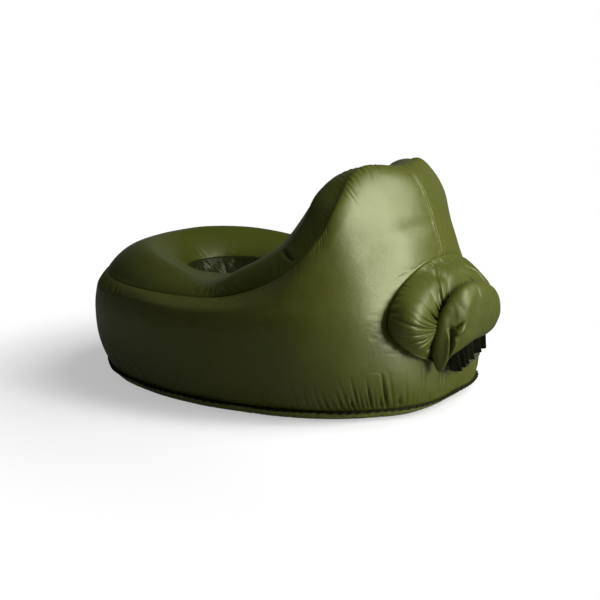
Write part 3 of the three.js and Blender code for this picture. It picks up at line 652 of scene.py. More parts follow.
# The thin slack cloth of the well, coloured nearly black as painted shade for the shadow in its crumpled
# hollow, with small glints on the crumples.
SHADED_WELL_TAFFETA = FabricFinish("coated_taffeta_well_painted_shade", 0x2A2F07, 0x181B04, roughness=0.36, gloss=0.35)
# The heavier coated cloth of the base: duller, and coloured paler as painted light for the floor's glow on
# its shaded underside.
BASE_TAFFETA_PAINTED_LIGHT = FabricFinish("coated_taffeta_base_painted_light", 0x7A8038, 0x6A702C, roughness=0.5)
# The welt's and the hem's cloth: the same taffeta, coloured nearly black as painted shade for the shadow they
# lie in; matt.
SHADED_EDGE_TAFFETA = FabricFinish("edge_taffeta_painted_shade", 0x181B05, 0x0E1003, roughness=0.7, gloss=0.25, slub=1.2 * MM)
# Sealing tape, welded on with heat: smooth, dull and without a weave's sheen.
SEALING_TAPE = FabricFinish("heat_sealed_tape", 0x5C6038, 0x50542F, roughness=0.6, sheen=0.0, crinkle=0.1)
# Webbing, woven of thick polyester threads: matt, with a soft fuzz.
WEBBING = FabricFinish(
    "woven_polyester_webbing", 0x2C2E18, 0x1F210F, roughness=0.7, sheen=0.3, thread=1.2 * MM
)
# Acetal, injection-moulded: dark, waxy and matt.
ACETAL = MouldedFinish("moulded_acetal", 0x1D1E18)


# The air body


@dataclass
class AirBody:
    """The blown-up body: where its seams run, and the smooth skins between them.

    Each row of stations runs from the front centre round the left to the rear centre. A station is a share of
    half the width, a share of half the length and a level: 0 on the floor, 1 at the seat's seam, 2 at the
    back's top.
    """

    width: float = 708
    length: float = 866
    seat_height: float = 226
    back_height: float = 480
    base_round: float = 30
    shift: float = -22.03
    wall_shares: list = field(
        default_factory=lambda: [
            [[0, -0.951, 0.15], [0.424, -0.855, 0.142], [0.729, -0.624, 0.124], [0.881, -0.296, 0.11],
             [0.921, 0.051, 0.106], [0.876, 0.328, 0.102], [0.788, 0.545, 0.098], [0.653, 0.723, 0.097],
             [0.46, 0.871, 0.097], [0.237, 0.942, 0.098], [0, 0.951, 0.106]],
            [[0, -0.993, 0.398], [0.463, -0.898, 0.389], [0.785, -0.651, 0.372], [0.949, -0.309, 0.363],
             [0.992, 0.046, 0.363], [0.955, 0.323, 0.372], [0.87, 0.557, 0.381], [0.723, 0.744, 0.389],
             [0.503, 0.882, 0.398], [0.254, 0.947, 0.389], [0, 0.963, 0.381]],
            [[0, -1, 0.66], [0.466, -0.912, 0.65], [0.797, -0.665, 0.66], [0.962, -0.314, 0.69],
             [1, 0.037, 0.71], [0.966, 0.312, 0.76], [0.878, 0.54, 0.84], [0.72, 0.716, 0.87],
             [0.503, 0.838, 0.876], [0.26, 0.901, 0.894], [0, 0.919, 0.894]],
            [[0, -0.99, 0.845], [0.456, -0.906, 0.845], [0.78, -0.662, 0.85], [0.944, -0.316, 0.87],
             [0.98, 0.018, 0.875], [0.947, 0.282, 0.94], [0.849, 0.498, 1.06], [0.692, 0.642, 1.225],
             [0.488, 0.724, 1.39], [0.262, 0.802, 1.461], [0, 0.836, 1.469]],
            [[0, -0.975, 0.925], [0.445, -0.89, 0.925], [0.763, -0.65, 0.925], [0.918, -0.319, 0.935],
             [0.942, 0.009, 0.94], [0.912, 0.249, 1.01], [0.836, 0.462, 1.16], [0.72, 0.575, 1.38],
             [0.592, 0.632, 1.67], [0.33, 0.66, 1.895], [0, 0.735, 1.87]],
            [[0, -0.948, 1], [0.424, -0.862, 1], [0.728, -0.628, 0.991], [0.868, -0.319, 0.982],
             [0.864, 0, 0.982], [0.847, 0.219, 1.055], [0.808, 0.427, 1.228], [0.715, 0.55, 1.475],
             [0.583, 0.58, 1.745], [0.345, 0.565, 1.965], [0, 0.625, 1.96]],
        ]
    )
    seat_shares: list = field(
        default_factory=lambda: [
            [[0, -0.868, 1.157], [0.373, -0.781, 1.157], [0.638, -0.582, 1.138], [0.768, -0.323, 1.094],
             [0.794, -0.023, 1.039], [0.78, 0.162, 1.173], [0.74, 0.36, 1.346], [0.655, 0.445, 1.55],
             [0.52, 0.455, 1.785], [0.29, 0.49, 1.945], [0, 0.575, 1.925]],
            [[0, -0.744, 1.236], [0.322, -0.674, 1.236], [0.537, -0.517, 1.213], [0.647, -0.316, 1.15],
             [0.678, -0.069, 1.055], [0.655, 0.139, 1.213], [0.61, 0.289, 1.37], [0.559, 0.365, 1.535],
             [0.45, 0.41, 1.745], [0.262, 0.44, 1.86], [0, 0.5, 1.845]],
            [[0, -0.663, 1.201], [0.263, -0.61, 1.193], [0.441, -0.476, 1.161], [0.537, -0.312, 1.102],
             [0.565, -0.115, 1.031], [0.537, 0.046, 1.094], [0.48, 0.139, 1.193], [0.424, 0.196, 1.311],
             [0.339, 0.236, 1.417], [0.184, 0.249, 1.488], [0, 0.259, 1.504]],
            [[0, -0.605, 1.118], [0.22, -0.554, 1.118], [0.367, -0.439, 1.094], [0.438, -0.312, 1.063],
             [0.438, -0.162, 1.016], [0.395, -0.058, 1.039], [0.325, 0, 1.071], [0.26, 0.035, 1.118],
             [0.184, 0.058, 1.165], [0.09, 0.069, 1.193], [0, 0.074, 1.197]],
            [[0, -0.554, 1.008], [0.175, -0.513, 1.008], [0.277, -0.416, 1.008], [0.297, -0.323, 1.008],
             [0.277, -0.231, 1.008], [0.226, -0.173, 1.008], [0.175, -0.148, 1.008], [0.127, -0.134, 1.008],
             [0.085, -0.127, 1.008], [0.042, -0.125, 1.008], [0, -0.125, 1.008]],
        ]
    )

    def __post_init__(self) -> None:
        """Turns the shares into control points."""
        self.wall_lines = np.stack([self.stations(line) for line in self.wall_shares], axis=1)
        seat = [self.wall_shares[-1], *self.seat_shares]
        self.seat_lines = np.stack([self.stations(line) for line in seat], axis=1)

    def stations(self, shares: list) -> Array:
        """One row of stations in the frame.

        Args:
            shares: each station's share of half the width, share of half the length and level.

        Returns:
            Points in millimetres, (stations, 3).
        """
        across, along, level = np.array(shares, float).T
        rise = self.back_height - self.seat_height
        height = np.where(level <= 1, level * self.seat_height, self.seat_height + (level - 1) * rise)
        return np.stack([across * self.width / 2, along * self.length / 2 + self.shift, height], axis=-1)

    @staticmethod
    def between(lines: Array, turn: Array, rise: Array) -> Array:
        """A smooth skin through rows of stations: one spline round the body, then one across the rows.

        Args:
            lines: control points, (stations, rows, 3).
            turn: how far round the left half, 0 front to 1 rear.
            rise: how far from the first row to the last, 0 to 1.

        Returns:
            Points of the same shape as turn, with x, y and z last.
        """
        flip = np.array([-1, 1, 1])
        turn, rise = np.broadcast_arrays(turn, rise)
        rows = shared_spline(lines, lines[1] * flip, lines[-2] * flip, turn.ravel())
        before = carried_on(rows[:, 0], rows[:, 1], rows[:, 2])
        after = carried_on(rows[:, -1], rows[:, -2], rows[:, -3])
        return own_spline(rows, before, after, rise.ravel()).reshape(turn.shape + (3,))

    def wall(self, turn: Array, rise: Array) -> Array:
        """The outer wall, from the base seam at rise 0 to the top seam at rise 1."""
        return self.between(self.wall_lines, turn, rise)

    def seat(self, turn: Array, rise: Array) -> Array:
        """The seat ring and back, from the top seam at rise 0 to the well's rim at rise 1."""
        return self.between(self.seat_lines, turn, rise)

    def base(self, turn: Array, drop: Array) -> Array:
        """The base: a quarter round from its seam at drop 0 to the floor at drop 1, then flat to the middle.

        Args:
            turn: how far round the left half.
            drop: 0 at the seam, 1 where the flat begins, 2 at the middle.

        Returns:
            Points of the same shape as turn.
        """
        turn, drop = np.broadcast_arrays(turn, drop)
        seam = self.wall(turn, np.zeros_like(turn))
        centre = np.array([0, self.shift, 0])
        inward = unit((centre - seam) * np.array([1, 1, 0]))
        bend = np.clip(drop, 0, 1) * np.pi / 2
        edge = seam + inward * (self.base_round * (1 - np.cos(bend)))[..., None]
        edge[..., 2] = seam[..., 2] * (1 - np.sin(bend))
        flat = np.clip(drop - 1, 0, 1)[..., None]
        return edge * (1 - flat) + centre * flat


def skin_normal(surface: Surface, turn: Array, rise: Array) -> Array:
    """Normals of a skin, from small steps along turn and rise.

    Args:
        surface: the skin.
        turn: places along its first way, 0 to 1.
        rise: places along its second way, 0 to 1.

    Returns:
        Unit vectors of the same shape as turn, with x, y and z last.
    """
    step = 1e-3
    along = surface(np.minimum(turn + step, 1), rise) - surface(np.maximum(turn - step, 0), rise)
    up = surface(turn, np.minimum(rise + step, 1)) - surface(turn, np.maximum(rise - step, 0))
    return unit(np.cross(along, up))


def seam_inward(first: Array, second: Array, on_plane: Array) -> Array:
    """The way into the body at a seam: midway between both inward normals.

    Args:
        first: outward normals of one panel along the seam, (n, 3).
        second: outward normals of the other panel, (n, 3).
        on_plane: True where the seam meets the middle plane, so that the way has no x there.

    Returns:
        Unit vectors, (n, 3).
    """
    inward = -(first + second)
    inward[on_plane, 0] = 0
    return unit(inward)


@dataclass(frozen=True)
class Edge:
    """One seam of a panel: the distance from it, the run along it, and the way into the body there."""

    away: Array
    along: Array
    inward: Array


# A seam is tucked in by TUCK_DEPTH over TUCK_WIDTH, holds relief off over CALM, and turns in by a hidden LIP.
TUCK_DEPTH = 0.55
TUCK_WIDTH = 2.6
CALM = 7.0
LIP = 4.0


def puff(points: Array, normals: Array, edges: list[Edge], relief: Array) -> Array:
    """Raises relief on a panel and tucks its seams in.

    The relief moves each point along its normal and fades to nothing at every seam. The tuck moves it into
    the body by a bell of the distance to the seam, along a direction that both panels share, so that they
    still meet.

    Args:
        points: smooth grid, (rows, columns, 3).
        normals: outward normals.
        edges: the panel's seams.
        relief: height above the smooth skin in millimetres.

    Returns:
        The finished grid.
    """
    calm = np.ones(points.shape[:2])
    tuck = np.zeros_like(points)
    for edge in edges:
        calm *= 1 - bump_at(edge.away, 0, CALM)
        tuck += TUCK_DEPTH * bump_at(edge.away, 0, TUCK_WIDTH)[..., None] * edge.inward
    return points + normals * (relief * calm)[..., None] + tuck


def add_lip(points: Array, inward: Array, axis: int, last: bool) -> Array:
    """Turns a grid's edge into the body by one more row or column, so that no gap shows in the seam.

    Args:
        points: grid of points, (rows, columns, 3).
        inward: the way into the body at each place of the edge.
        axis: 0 where the edge is a row, 1 where it is a column.
        last: True for the last row or column, False for the first.

    Returns:
        The grid with its lip.
    """
    index = -1 if last else 0
    rim = np.take(points, [index], axis=axis)
    lip = rim + LIP * np.expand_dims(inward, axis)
    return np.concatenate([points, lip] if last else [lip, points], axis=axis)


def eased(count: int, pull: float = 0.35) -> Array:
    """Shares from 0 to 1 that stand closer together near both ends: a line blended with a cosine."""
    line = np.linspace(0, 1, count)
    return (1 - pull) * line + pull * (1 - np.cos(np.pi * line)) / 2


@dataclass
class NeckShape:
    """The filling neck: a wide pillow from its root in the outer walls to its flat mouth.

    Each of its inner rings has a share of the width and of the height, three shares of the depth (how far
    back its top, its sides and its bottom lie) and a share of the height by which it is raised.
    """

    body: AirBody
    width: float = 406
    height: float = 210
    depth: float = 60
    level: float = 186
    rear_share: float = 0.919
    root_level_share: float = 0.376
    root_turn_share: float = 0.38
    root_rise_share: float = 0.167
    bulge_lift_shares: tuple = (0.17, 0.26, 0.13)
    bulge_spread_shares: tuple = (-0.2, 0.1, 0.03)
    ring_shares: tuple = (
        (1.0, 0.83, 0.2, 0.02, 0.3, -0.002),
        (0.92, 0.69, 0.38, 0.36, 0.24, -0.01),
        (0.74, 0.52, 0.46, 0.5, 0.1, -0.018),
        (0.53, 0.34, 0.2, 0.46, 0.04, -0.012),
    )
    mouth_width: float = 140
    mouth_height: float = 7
    mouth_back: float = 0
    fullness: float = 1.0

    @property
    def rear(self) -> float:
        """How far back the body reaches at the neck."""
        return self.rear_share * self.body.length / 2 + self.body.shift

    @property
    def turn(self) -> float:
        """The root's half width in turns of the body."""
        return self.width / self.body.width * self.root_turn_share

    @property
    def rise(self) -> float:
        """The root's half height in rises of the wall."""
        return self.height / self.body.seat_height * self.root_rise_share

    def root_place(self, angle: Array) -> tuple[Array, Array]:
        """Turn and rise of the root at an angle from its top round the left side to its bottom."""
        return 1 - self.turn * np.sin(angle), self.root_level_share + self.rise * np.cos(angle)

    @staticmethod
    def round_neck(shares: tuple | list, angle: Array) -> Array:
        """A value round the neck, blended from three by the squared cosine.

        Args:
            shares: the values at its top, its side and its bottom.
            angle: places from its top round the left side to its bottom.

        Returns:
            One value per angle.
        """
        top, side, bottom = shares
        upright = np.cos(angle) ** 2
        return np.where(np.cos(angle) > 0, top, bottom) * upright + side * (1 - upright)

    def rings(self, angle: Array) -> Array:
        """The neck's control rings: its root, a bulge beside it, the inner rings and the flat mouth.

        Args:
            angle: places from its top round the left side to its bottom, (n,).

        Returns:
            Control points from root to mouth, (n, rings, 3).
        """
        turn, rise = self.root_place(angle)
        root = self.body.wall(turn, rise)
        normal = skin_normal(self.body.wall, turn, rise)
        normal[np.sin(angle) < 1e-6, 0] = 0
        outward = unit((root - np.array([0, 0, self.level])) * np.array([1, 0, 1]))
        lift = self.round_neck(self.bulge_lift_shares, angle) * self.depth
        spread = self.round_neck(self.bulge_spread_shares, angle) * self.depth
        bulge = root + unit(normal) * lift[:, None] + outward * spread[:, None]
        rows = [root, bulge]
        for wide, high, *backs, raised in self.ring_shares:
            x = wide * self.fullness * self.width * np.sin(angle) / 2
            y = self.rear + self.round_neck(backs, angle) * self.depth
            z = self.level + raised * self.height + high * self.height * np.cos(angle) / 2
            rows.append(np.stack([x, y, z], axis=-1))
        up = np.sign(np.cos(angle)) * np.sqrt(np.abs(np.cos(angle)))
        x = self.mouth_width * np.sqrt(np.abs(np.sin(angle))) / 2
        z = self.level + self.mouth_height * up / 2
        rows.append(np.stack([x, np.full_like(angle, self.mouth_back), z], axis=-1))
        return np.stack(rows, axis=1)

    def skin(self, angle: Array, out: Array) -> Array:
        """The neck's smooth skin: a spline through the rings at one angle, straight on beyond both ends.

        Args:
            angle: places from its top round the left side to its bottom.
            out: how far from the root at 0 to the mouth at 1.

        Returns:
            Points of the shape that angle and out share, with x, y and z last.
        """
        angle, out = np.broadcast_arrays(angle, out)
        rings = self.rings(angle.ravel())
        before = 2 * rings[:, 0] - rings[:, 1]
        after = 2 * rings[:, -1] - rings[:, -2]
        return own_spline(rings, before, after, out.ravel()).reshape(angle.shape + (3,))

    def root_inward(self, angle: Array) -> Array:
        """The way into the body along the root seam.

        Args:
            angle: places from its top round the left side to its bottom, (n,).

        Returns:
            Unit vectors, (n, 3).
        """
        turn, rise = self.root_place(angle)
        wall = skin_normal(self.body.wall, turn, rise)
        half_turns = angle / np.pi
        neck = skin_normal(lambda bend, out: self.skin(bend * np.pi, out), half_turns, np.zeros_like(angle))
        return seam_inward(wall, neck, np.sin(angle) < 1e-6)


@dataclass
class Panels:
    """The air body's four fabric panels, the slack cover in its well and the welt round its base.

    A spot says where gathers are strong: their strength, the turn they are at and the width of the
    bell. Crumples are a height, a size and a seed, and a pocket has its middle and width round the cover
    and on the way in.
    """

    body: AirBody
    neck: NeckShape
    columns: int = 520
    low_rows: int = 56
    root_rows: int = 72
    high_rows: int = 62
    seat_rows: int = 150
    ring_columns: int = 620
    base_rows: int = 34
    cover_rows: int = 64
    base_spots: tuple = ((1.2, 0.73, 0.08), (0.4, 0.88, 0.05), (0.35, 0.3, 0.06))
    base_floor: float = 0.1
    top_spots: tuple = ((1.2, 0.41, 0.03), (1.6, 0.9, 0.05), (1.2, 0.2, 0.06))
    seat_spots: tuple = ((1.3, 0.41, 0.025), (1.0, 0.9, 0.05))
    elbow_spot: tuple = (0.41, 0.02)
    back_fold: float = 4.0
    back_fold_rise: tuple = (0.62, 0.025)
    back_fold_turn: tuple = (0.92, 0.06)
    arm_slit: float = 9
    arm_slit_ends: tuple = ((256, 136, 326), (275, 174, 311))
    arm_slit_width: float = 3.4
    base_hollow: float = 9
    base_fullest_turn: float = 0.53
    base_hollow_drop: tuple = (0.45, 0.3)
    base_calm_drop: float = 0.35
    base_flat_steps: tuple = (0.08, 0.25, 0.5, 0.75, 1.0)
    well_dip: float = 54
    well_steepness: float = 3.2
    cover_radius: float = 100
    cover_folds: int = 7
    fold_height: float = 6
    fold_twist: float = 3
    crumples: tuple = ((17, 26, 91), (11, 11, 92))
    crumple_mean: float = 0.62
    crumple_start: float = 0.12
    pocket_depth: float = 20
    pockets: tuple = (((0.47, 0.035), (0.22, 0.12)), ((0.62, 0.03), (0.3, 0.12)))
    cover_slack: float = 1.15
    welt_width: float = 6.8
    welt_wander: float = 1.0
    welt_pitch: float = 17
    welt_ruffle: float = 1.1
    welt_droop: float = 0.6
    welt_thickness: float = 1.3

    def top_inward(self, turn: Array) -> Array:
        """The way into the body along the top seam.

        Args:
            turn: how far round the left half, (n,).

        Returns:
            Unit vectors, (n, 3).
        """
        wall = skin_normal(self.body.wall, turn, np.ones_like(turn))
        seat = skin_normal(self.body.seat, turn, np.zeros_like(turn))
        return seam_inward(wall, seat, (turn <= 0) | (turn >= 1))

    def base_inward(self, turn: Array) -> Array:
        """The way into the body along the base seam.

        Args:
            turn: how far round the left half, (n,).

        Returns:
            Unit vectors, (n, 3).
        """
        wall = skin_normal(self.body.wall, turn, np.zeros_like(turn))
        under = -skin_normal(self.body.base, turn, np.zeros_like(turn))
        return seam_inward(wall, under, (turn <= 0) | (turn >= 1))

    def wall_grid(self) -> tuple[Array, Array, Array]:
        """Where the rows and columns of the wall's grid run.

        They are even over the wall. Towards the rear they lean, by the cube-like smooth step of the
        column, until the last column follows the middle plane and the edge of the neck's root.

        Returns:
            Turn and rise, (rows, columns), and the root's angle on each row, not a number beside the root.
        """
        neck = self.neck
        low, high = neck.root_level_share - neck.rise, neck.root_level_share + neck.rise
        angle = np.linspace(np.pi, 0, self.root_rows)
        even = low + (high - low) * np.linspace(0, 1, self.root_rows)
        below, above = eased(self.low_rows)[:-1] * low, high + eased(self.high_rows)[1:] * (1 - high)
        rear_rise = np.concatenate([below, neck.root_level_share + neck.rise * np.cos(angle), above])
        side_rise = np.concatenate([below, even, above])
        angles = np.concatenate([np.full(len(below), np.nan), angle, np.full(len(above), np.nan)])
        column = eased(self.columns, 0.12)[None]
        lean = np.clip((column - 0.45) / 0.55, 0, 1)
        lean = lean**2 * (3 - 2 * lean)
        turn = column - neck.turn * np.sin(np.nan_to_num(angles))[:, None] * lean
        rise = side_rise[:, None] * (1 - lean) + rear_rise[:, None] * lean
        return turn, rise, angles

    def outer_panel(self, side: Side) -> bpy.types.Object:
        """One outer wall, puckered at its four seams.

        Args:
            side: the half that it is on.

        Returns:
            The panel.
        """
        turn, rise, angles = self.wall_grid()
        smooth = self.body.wall(turn, rise)
        normals = grid_normals(smooth)
        up, across = run_length(smooth, 0), run_length(smooth, 1)
        front, rear = (unit(-normals[:, column] * np.array([0, 1, 1])) for column in (0, -1))
        in_root = ~np.isnan(angles)
        rear[in_root] = self.neck.root_inward(angles[in_root])
        edges = [
            Edge(up, across[:1], self.base_inward(turn[0])[None]),
            Edge(up[-1:] - up, across[-1:], self.top_inward(turn[-1])[None]),
            Edge(across, up[:, :1], front[:, None]),
            Edge(across[:, -1:] - across, up[:, -1:], rear[:, None]),
        ]
        placed = side.place(smooth)
        relief = self.wall_relief(placed, turn, rise, edges, angles, side)
        grid = puff(smooth, normals, edges, relief)
        grid = add_lip(add_lip(grid, edges[0].inward[0], 0, False), edges[1].inward[0], 0, True)
        ends = [np.concatenate([e[:1], e, e[-1:]]) for e in (front, rear)]
        grid = add_lip(add_lip(grid, ends[0], 1, False), ends[1], 1, True)
        name = f"outer_panel_{side.suffix}"
        panel = make_piece(f"{name}_fabric", side.place(grid), OUTER_TAFFETA, flip=side is Side.RIGHT)
        return finish_piece(panel, [name])

    def wall_relief(
        self, placed: Array, turn: Array, rise: Array, edges: list[Edge], angles: Array, side: Side
    ) -> Array:
        """Relief of an outer wall: gathers at all four seams, a fold at the back and slow ripples.

        At the rear seam the gathers are short. At the neck's root they run long, and fade under it.

        Args:
            placed: the smooth wall on its own side of the chair, (rows, columns, 3).
            turn: how far round the body each place is.
            rise: how far up the wall each place is.
            edges: the base, top, front and rear seams.
            angles: the root's angle on each row, not a number beside the root.
            side: the half that the wall is on.

        Returns:
            Height above the smooth wall in millimetres, (rows, columns).
        """
        seed = 10 if side is Side.LEFT else 40
        base, top, front, rear = edges
        angles = np.nan_to_num(angles)[:, None]
        beside_root = np.clip(2 * np.sin(angles), 0, 1)
        over_root = np.clip(1 + 1.2 * np.cos(angles), 0, 1)
        strong_base = spots_at(turn, self.base_spots, self.base_floor)
        strong_top = spots_at(turn, self.top_spots)
        relief = Gathers(pitch=11, reach=28, depth=8.0, seed=seed, width_share=0.2).at(base) * strong_base
        relief += Gathers(pitch=9, reach=9, depth=1.3, seed=seed + 1).at(base)
        relief += Gathers(pitch=9, reach=7, depth=1.0, seed=seed + 2).at(top)
        relief += Gathers(pitch=13, reach=17, depth=2.6, seed=seed + 3).at(top) * strong_top
        relief += Gathers(pitch=10, reach=11, depth=1.1, seed=seed + 4).at(front)
        relief += Gathers(pitch=8, reach=11, depth=2.2, seed=seed + 5).at(rear) * (1 - beside_root)
        root = Gathers(pitch=6.5, reach=22, depth=1.3, seed=seed + 6, width_share=0.26, lean=0.6)
        relief += root.at(rear) * beside_root * over_root
        relief -= self.back_fold * bump_at(rise, *self.back_fold_rise) * bump_at(turn, *self.back_fold_turn)
        relief += ripples(placed, (1.1, 190, seed + 7), (0.16, 60, seed + 8))
        return relief

    def ring_turn(self) -> tuple[Array, Array]:
        """Where the columns of a ring round both halves stand.

        Returns:
            The turn of each column, and the factors that mirror the right half's columns.
        """
        half = self.ring_columns // 2
        column = np.arange(self.ring_columns)
        turn = np.where(column <= half, column, 2 * half - column) / half
        return turn, mirrored_where(column > half)

    def ring(self, skin: Surface, share: Array) -> Array:
        """A skin run round both halves: columns go round the left half, then back along the mirrored one."""
        turn, mirror = self.ring_turn()
        return skin(*np.broadcast_arrays(turn, share[:, None])) * mirror

    def ring_inward(self, inward: Callable[[Array], Array]) -> Array:
        """A seam's inward way for every column of the ring."""
        turn, mirror = self.ring_turn()
        return inward(turn) * mirror

    def rim_inward(self, turn: Array) -> Array:
        """The way under the seat at the well's rim.

        Args:
            turn: how far round the left half, (n,).

        Returns:
            Unit vectors, (n, 3).
        """
        normal = skin_normal(self.body.seat, turn, np.ones_like(turn))
        normal[(turn <= 0) | (turn >= 1), 0] = 0
        return -unit(normal)

    def seat_back(self) -> bpy.types.Object:
        """The seat ring, the arms' inner faces and the back's front as one panel, creased at the left arm.

        Returns:
            The panel.
        """
        share = eased(self.seat_rows, 0.3)
        smooth = self.ring(self.body.seat, share)
        normals = grid_normals(smooth, closed=True)
        up, across = run_length(smooth, 0), run_length(smooth, 1)
        top, rim = self.ring_inward(self.top_inward), self.ring_inward(self.rim_inward)
        top_edge = Edge(up, across[:1], top[None])
        rim_edge = Edge(up[-1:] - up, across[-1:], rim[None])
        turn, _ = self.ring_turn()
        elbow = bump_at(turn, *self.elbow_spot)
        strong_top = spots_at(turn, self.seat_spots)
        relief = Gathers(pitch=10, reach=9, depth=1.2, seed=71).at(top_edge)
        relief += Gathers(pitch=15, reach=24, depth=3.0, seed=72).at(top_edge) * strong_top
        relief += Gathers(pitch=7, reach=14, depth=5.0, seed=73).at(top_edge) * elbow
        relief += Gathers(pitch=15, reach=12, depth=0.8, seed=74).at(rim_edge)
        relief += ripples(smooth, (1.1, 170, 75), (0.15, 55, 76))
        relief -= self.arm_slit * crease(smooth, *np.array(self.arm_slit_ends), self.arm_slit_width)
        grid = puff(smooth, normals, [top_edge, rim_edge], relief)
        grid = add_lip(add_lip(grid, top, 0, False), rim, 0, True)
        panel = make_piece("seat_back_panel_fabric", grid, INNER_TAFFETA, closed=True)
        return finish_piece(panel, ["seat_back_panel"])

    def base_panel(self) -> bpy.types.Object:
        """The base: a puckered round under its seam and a flat that rests on the floor.

        The round is full at one turn and falls in on both sides of it, by a bell over its drop and in step
        with the distance from that turn.

        Returns:
            The panel.
        """
        rows = np.concatenate([eased(self.base_rows, 0.2), 1 + np.array(self.base_flat_steps)])
        smooth = self.ring(self.body.base, rows)
        normals = -grid_normals(smooth, closed=True)
        inward = self.ring_inward(self.base_inward)
        turn, _ = self.ring_turn()
        seam = Edge(run_length(smooth, 0), run_length(smooth, 1)[:1], inward[None])
        drop = rows[:, None]
        relief = Gathers(pitch=13, reach=12, depth=3.0, seed=81).at(seam)
        relief += ripple(smooth, 90, 82)
        fallen = np.clip(1.6 * np.abs(turn - self.base_fullest_turn) - 0.3, 0, 1)
        relief -= self.base_hollow * fallen * bump_at(drop, *self.base_hollow_drop)
        relief *= np.clip((1 - drop) / self.base_calm_drop, 0, 1)
        grid = puff(smooth, normals, [seam], relief)
        grid[..., 2] = np.maximum(grid[..., 2], 0)
        grid[rows >= 1, :, 2] = 0
        grid = add_lip(grid, inward, 0, False)
        # The base's pale colour is painted light.
        panel = make_piece("base_panel_fabric", grid, BASE_TAFFETA_PAINTED_LIGHT, closed=True, end_pole=True, flip=True)
        return finish_piece(panel, ["base_panel"])

    def well_cover(self) -> bpy.types.Object:
        """The slack cover: it sinks from the rim to the middle in radial folds and loose crumples.

        Its dip is 1 less a power of the way left to the middle. The folds are a sine round it, twisted
        towards the middle, and the pockets are bells round it and along the way in.

        Returns:
            The cover.
        """
        share = np.linspace(0, 1, self.cover_rows)[:, None]
        rim = self.ring(self.body.seat, np.ones(1))
        front, rear = (self.body.seat(np.full(1, end), np.ones(1)) for end in (0.0, 1.0))
        centre = (front + rear)[0] / 2
        grid = rim * (1 - share[..., None]) + centre * share[..., None]
        column = np.arange(self.ring_columns) / self.ring_columns
        swing = np.sin(2 * np.pi * self.cover_folds * column + self.fold_twist * share)
        fold = self.fold_height * share * (1 - share) ** 0.5 * swing
        dip = self.well_dip * (1 - (1 - share) ** self.well_steepness)
        crumpled = sum(
            height * (crumple(grid, size, seed) - self.crumple_mean) for height, size, seed in self.crumples
        )
        pockets = sum(bump_at(column, *place) * bump_at(share, *way_in) for place, way_in in self.pockets)
        loose = np.clip(share / self.crumple_start, 0, 1)
        grid[..., 2] += -dip - fold + loose * crumpled - self.pocket_depth * pockets
        inward = self.ring_inward(self.rim_inward)
        grid += TUCK_DEPTH * bump_at(share * self.cover_radius, 0, TUCK_WIDTH)[..., None] * inward
        grid = add_lip(grid, inward, 0, False)
        # The cover's near-black colour is painted shade.
        cover = make_piece("well_cover_fabric", grid, SHADED_WELL_TAFFETA, closed=True, end_pole=True)
        cover = finish_piece(cover, ["well_cover"])
        return cover

    def welt(self) -> bpy.types.Object:
        """The frilled welt: a strip that stands out of the base seam and ruffles up and down.

        Its height waves by a sine of the run along the seam whose pitch and size wander, more at its free
        edge.

        Returns:
            The welt.
        """
        fine = np.linspace(0, 1, 3 * self.ring_columns, endpoint=False)
        turn = np.where(fine <= 0.5, 2 * fine, 2 - 2 * fine)
        mirror = mirrored_where(fine > 0.5)
        seam = self.body.wall(turn, np.zeros_like(turn)) * mirror
        out = -self.base_inward(turn) * mirror
        run = np.concatenate([[0], np.cumsum(np.linalg.norm(np.diff(seam, axis=0), axis=-1))])
        along = unit(np.roll(seam, -1, axis=0) - np.roll(seam, 1, axis=0))
        across = unit(np.cross(along, out))
        reach = np.linspace(-0.25, 1, 9)[:, None, None]
        free = np.clip(reach, 0, 1)
        phase = 2 * np.pi * run / self.welt_pitch + 1.3 * np.sin(run / 41) + 0.8 * np.sin(run / 13)
        ruffle = self.welt_ruffle * np.sin(phase) * (1.0 + 0.5 * np.sin(run / 67))
        width = self.welt_width + self.welt_wander * np.sin(run / 23)
        grid = seam + out * reach * width[:, None] + across * ruffle[:, None] * free**1.2
        grid[..., 2] -= self.welt_droop * free[..., 0]
        # The frill's nearly black colour is painted shade.
        frill = make_piece("base_welt_frill", grid, SHADED_EDGE_TAFFETA, closed=True, flip=True)
        add_modifier(frill, "SOLIDIFY", thickness=self.welt_thickness * MM, offset=0.0)
        return finish_piece(frill, ["base_welt"])


def finish_piece(
    piece: bpy.types.Object, nodes: list[str]
) -> bpy.types.Object:
    """Puts a piece of the chair's body in the frame.

    Args:
        piece: the piece.
        nodes: the CAD nodes that it replaces.

    Returns:
        The piece.
    """
    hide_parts(*nodes)
    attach(piece, "chair")
    return piece


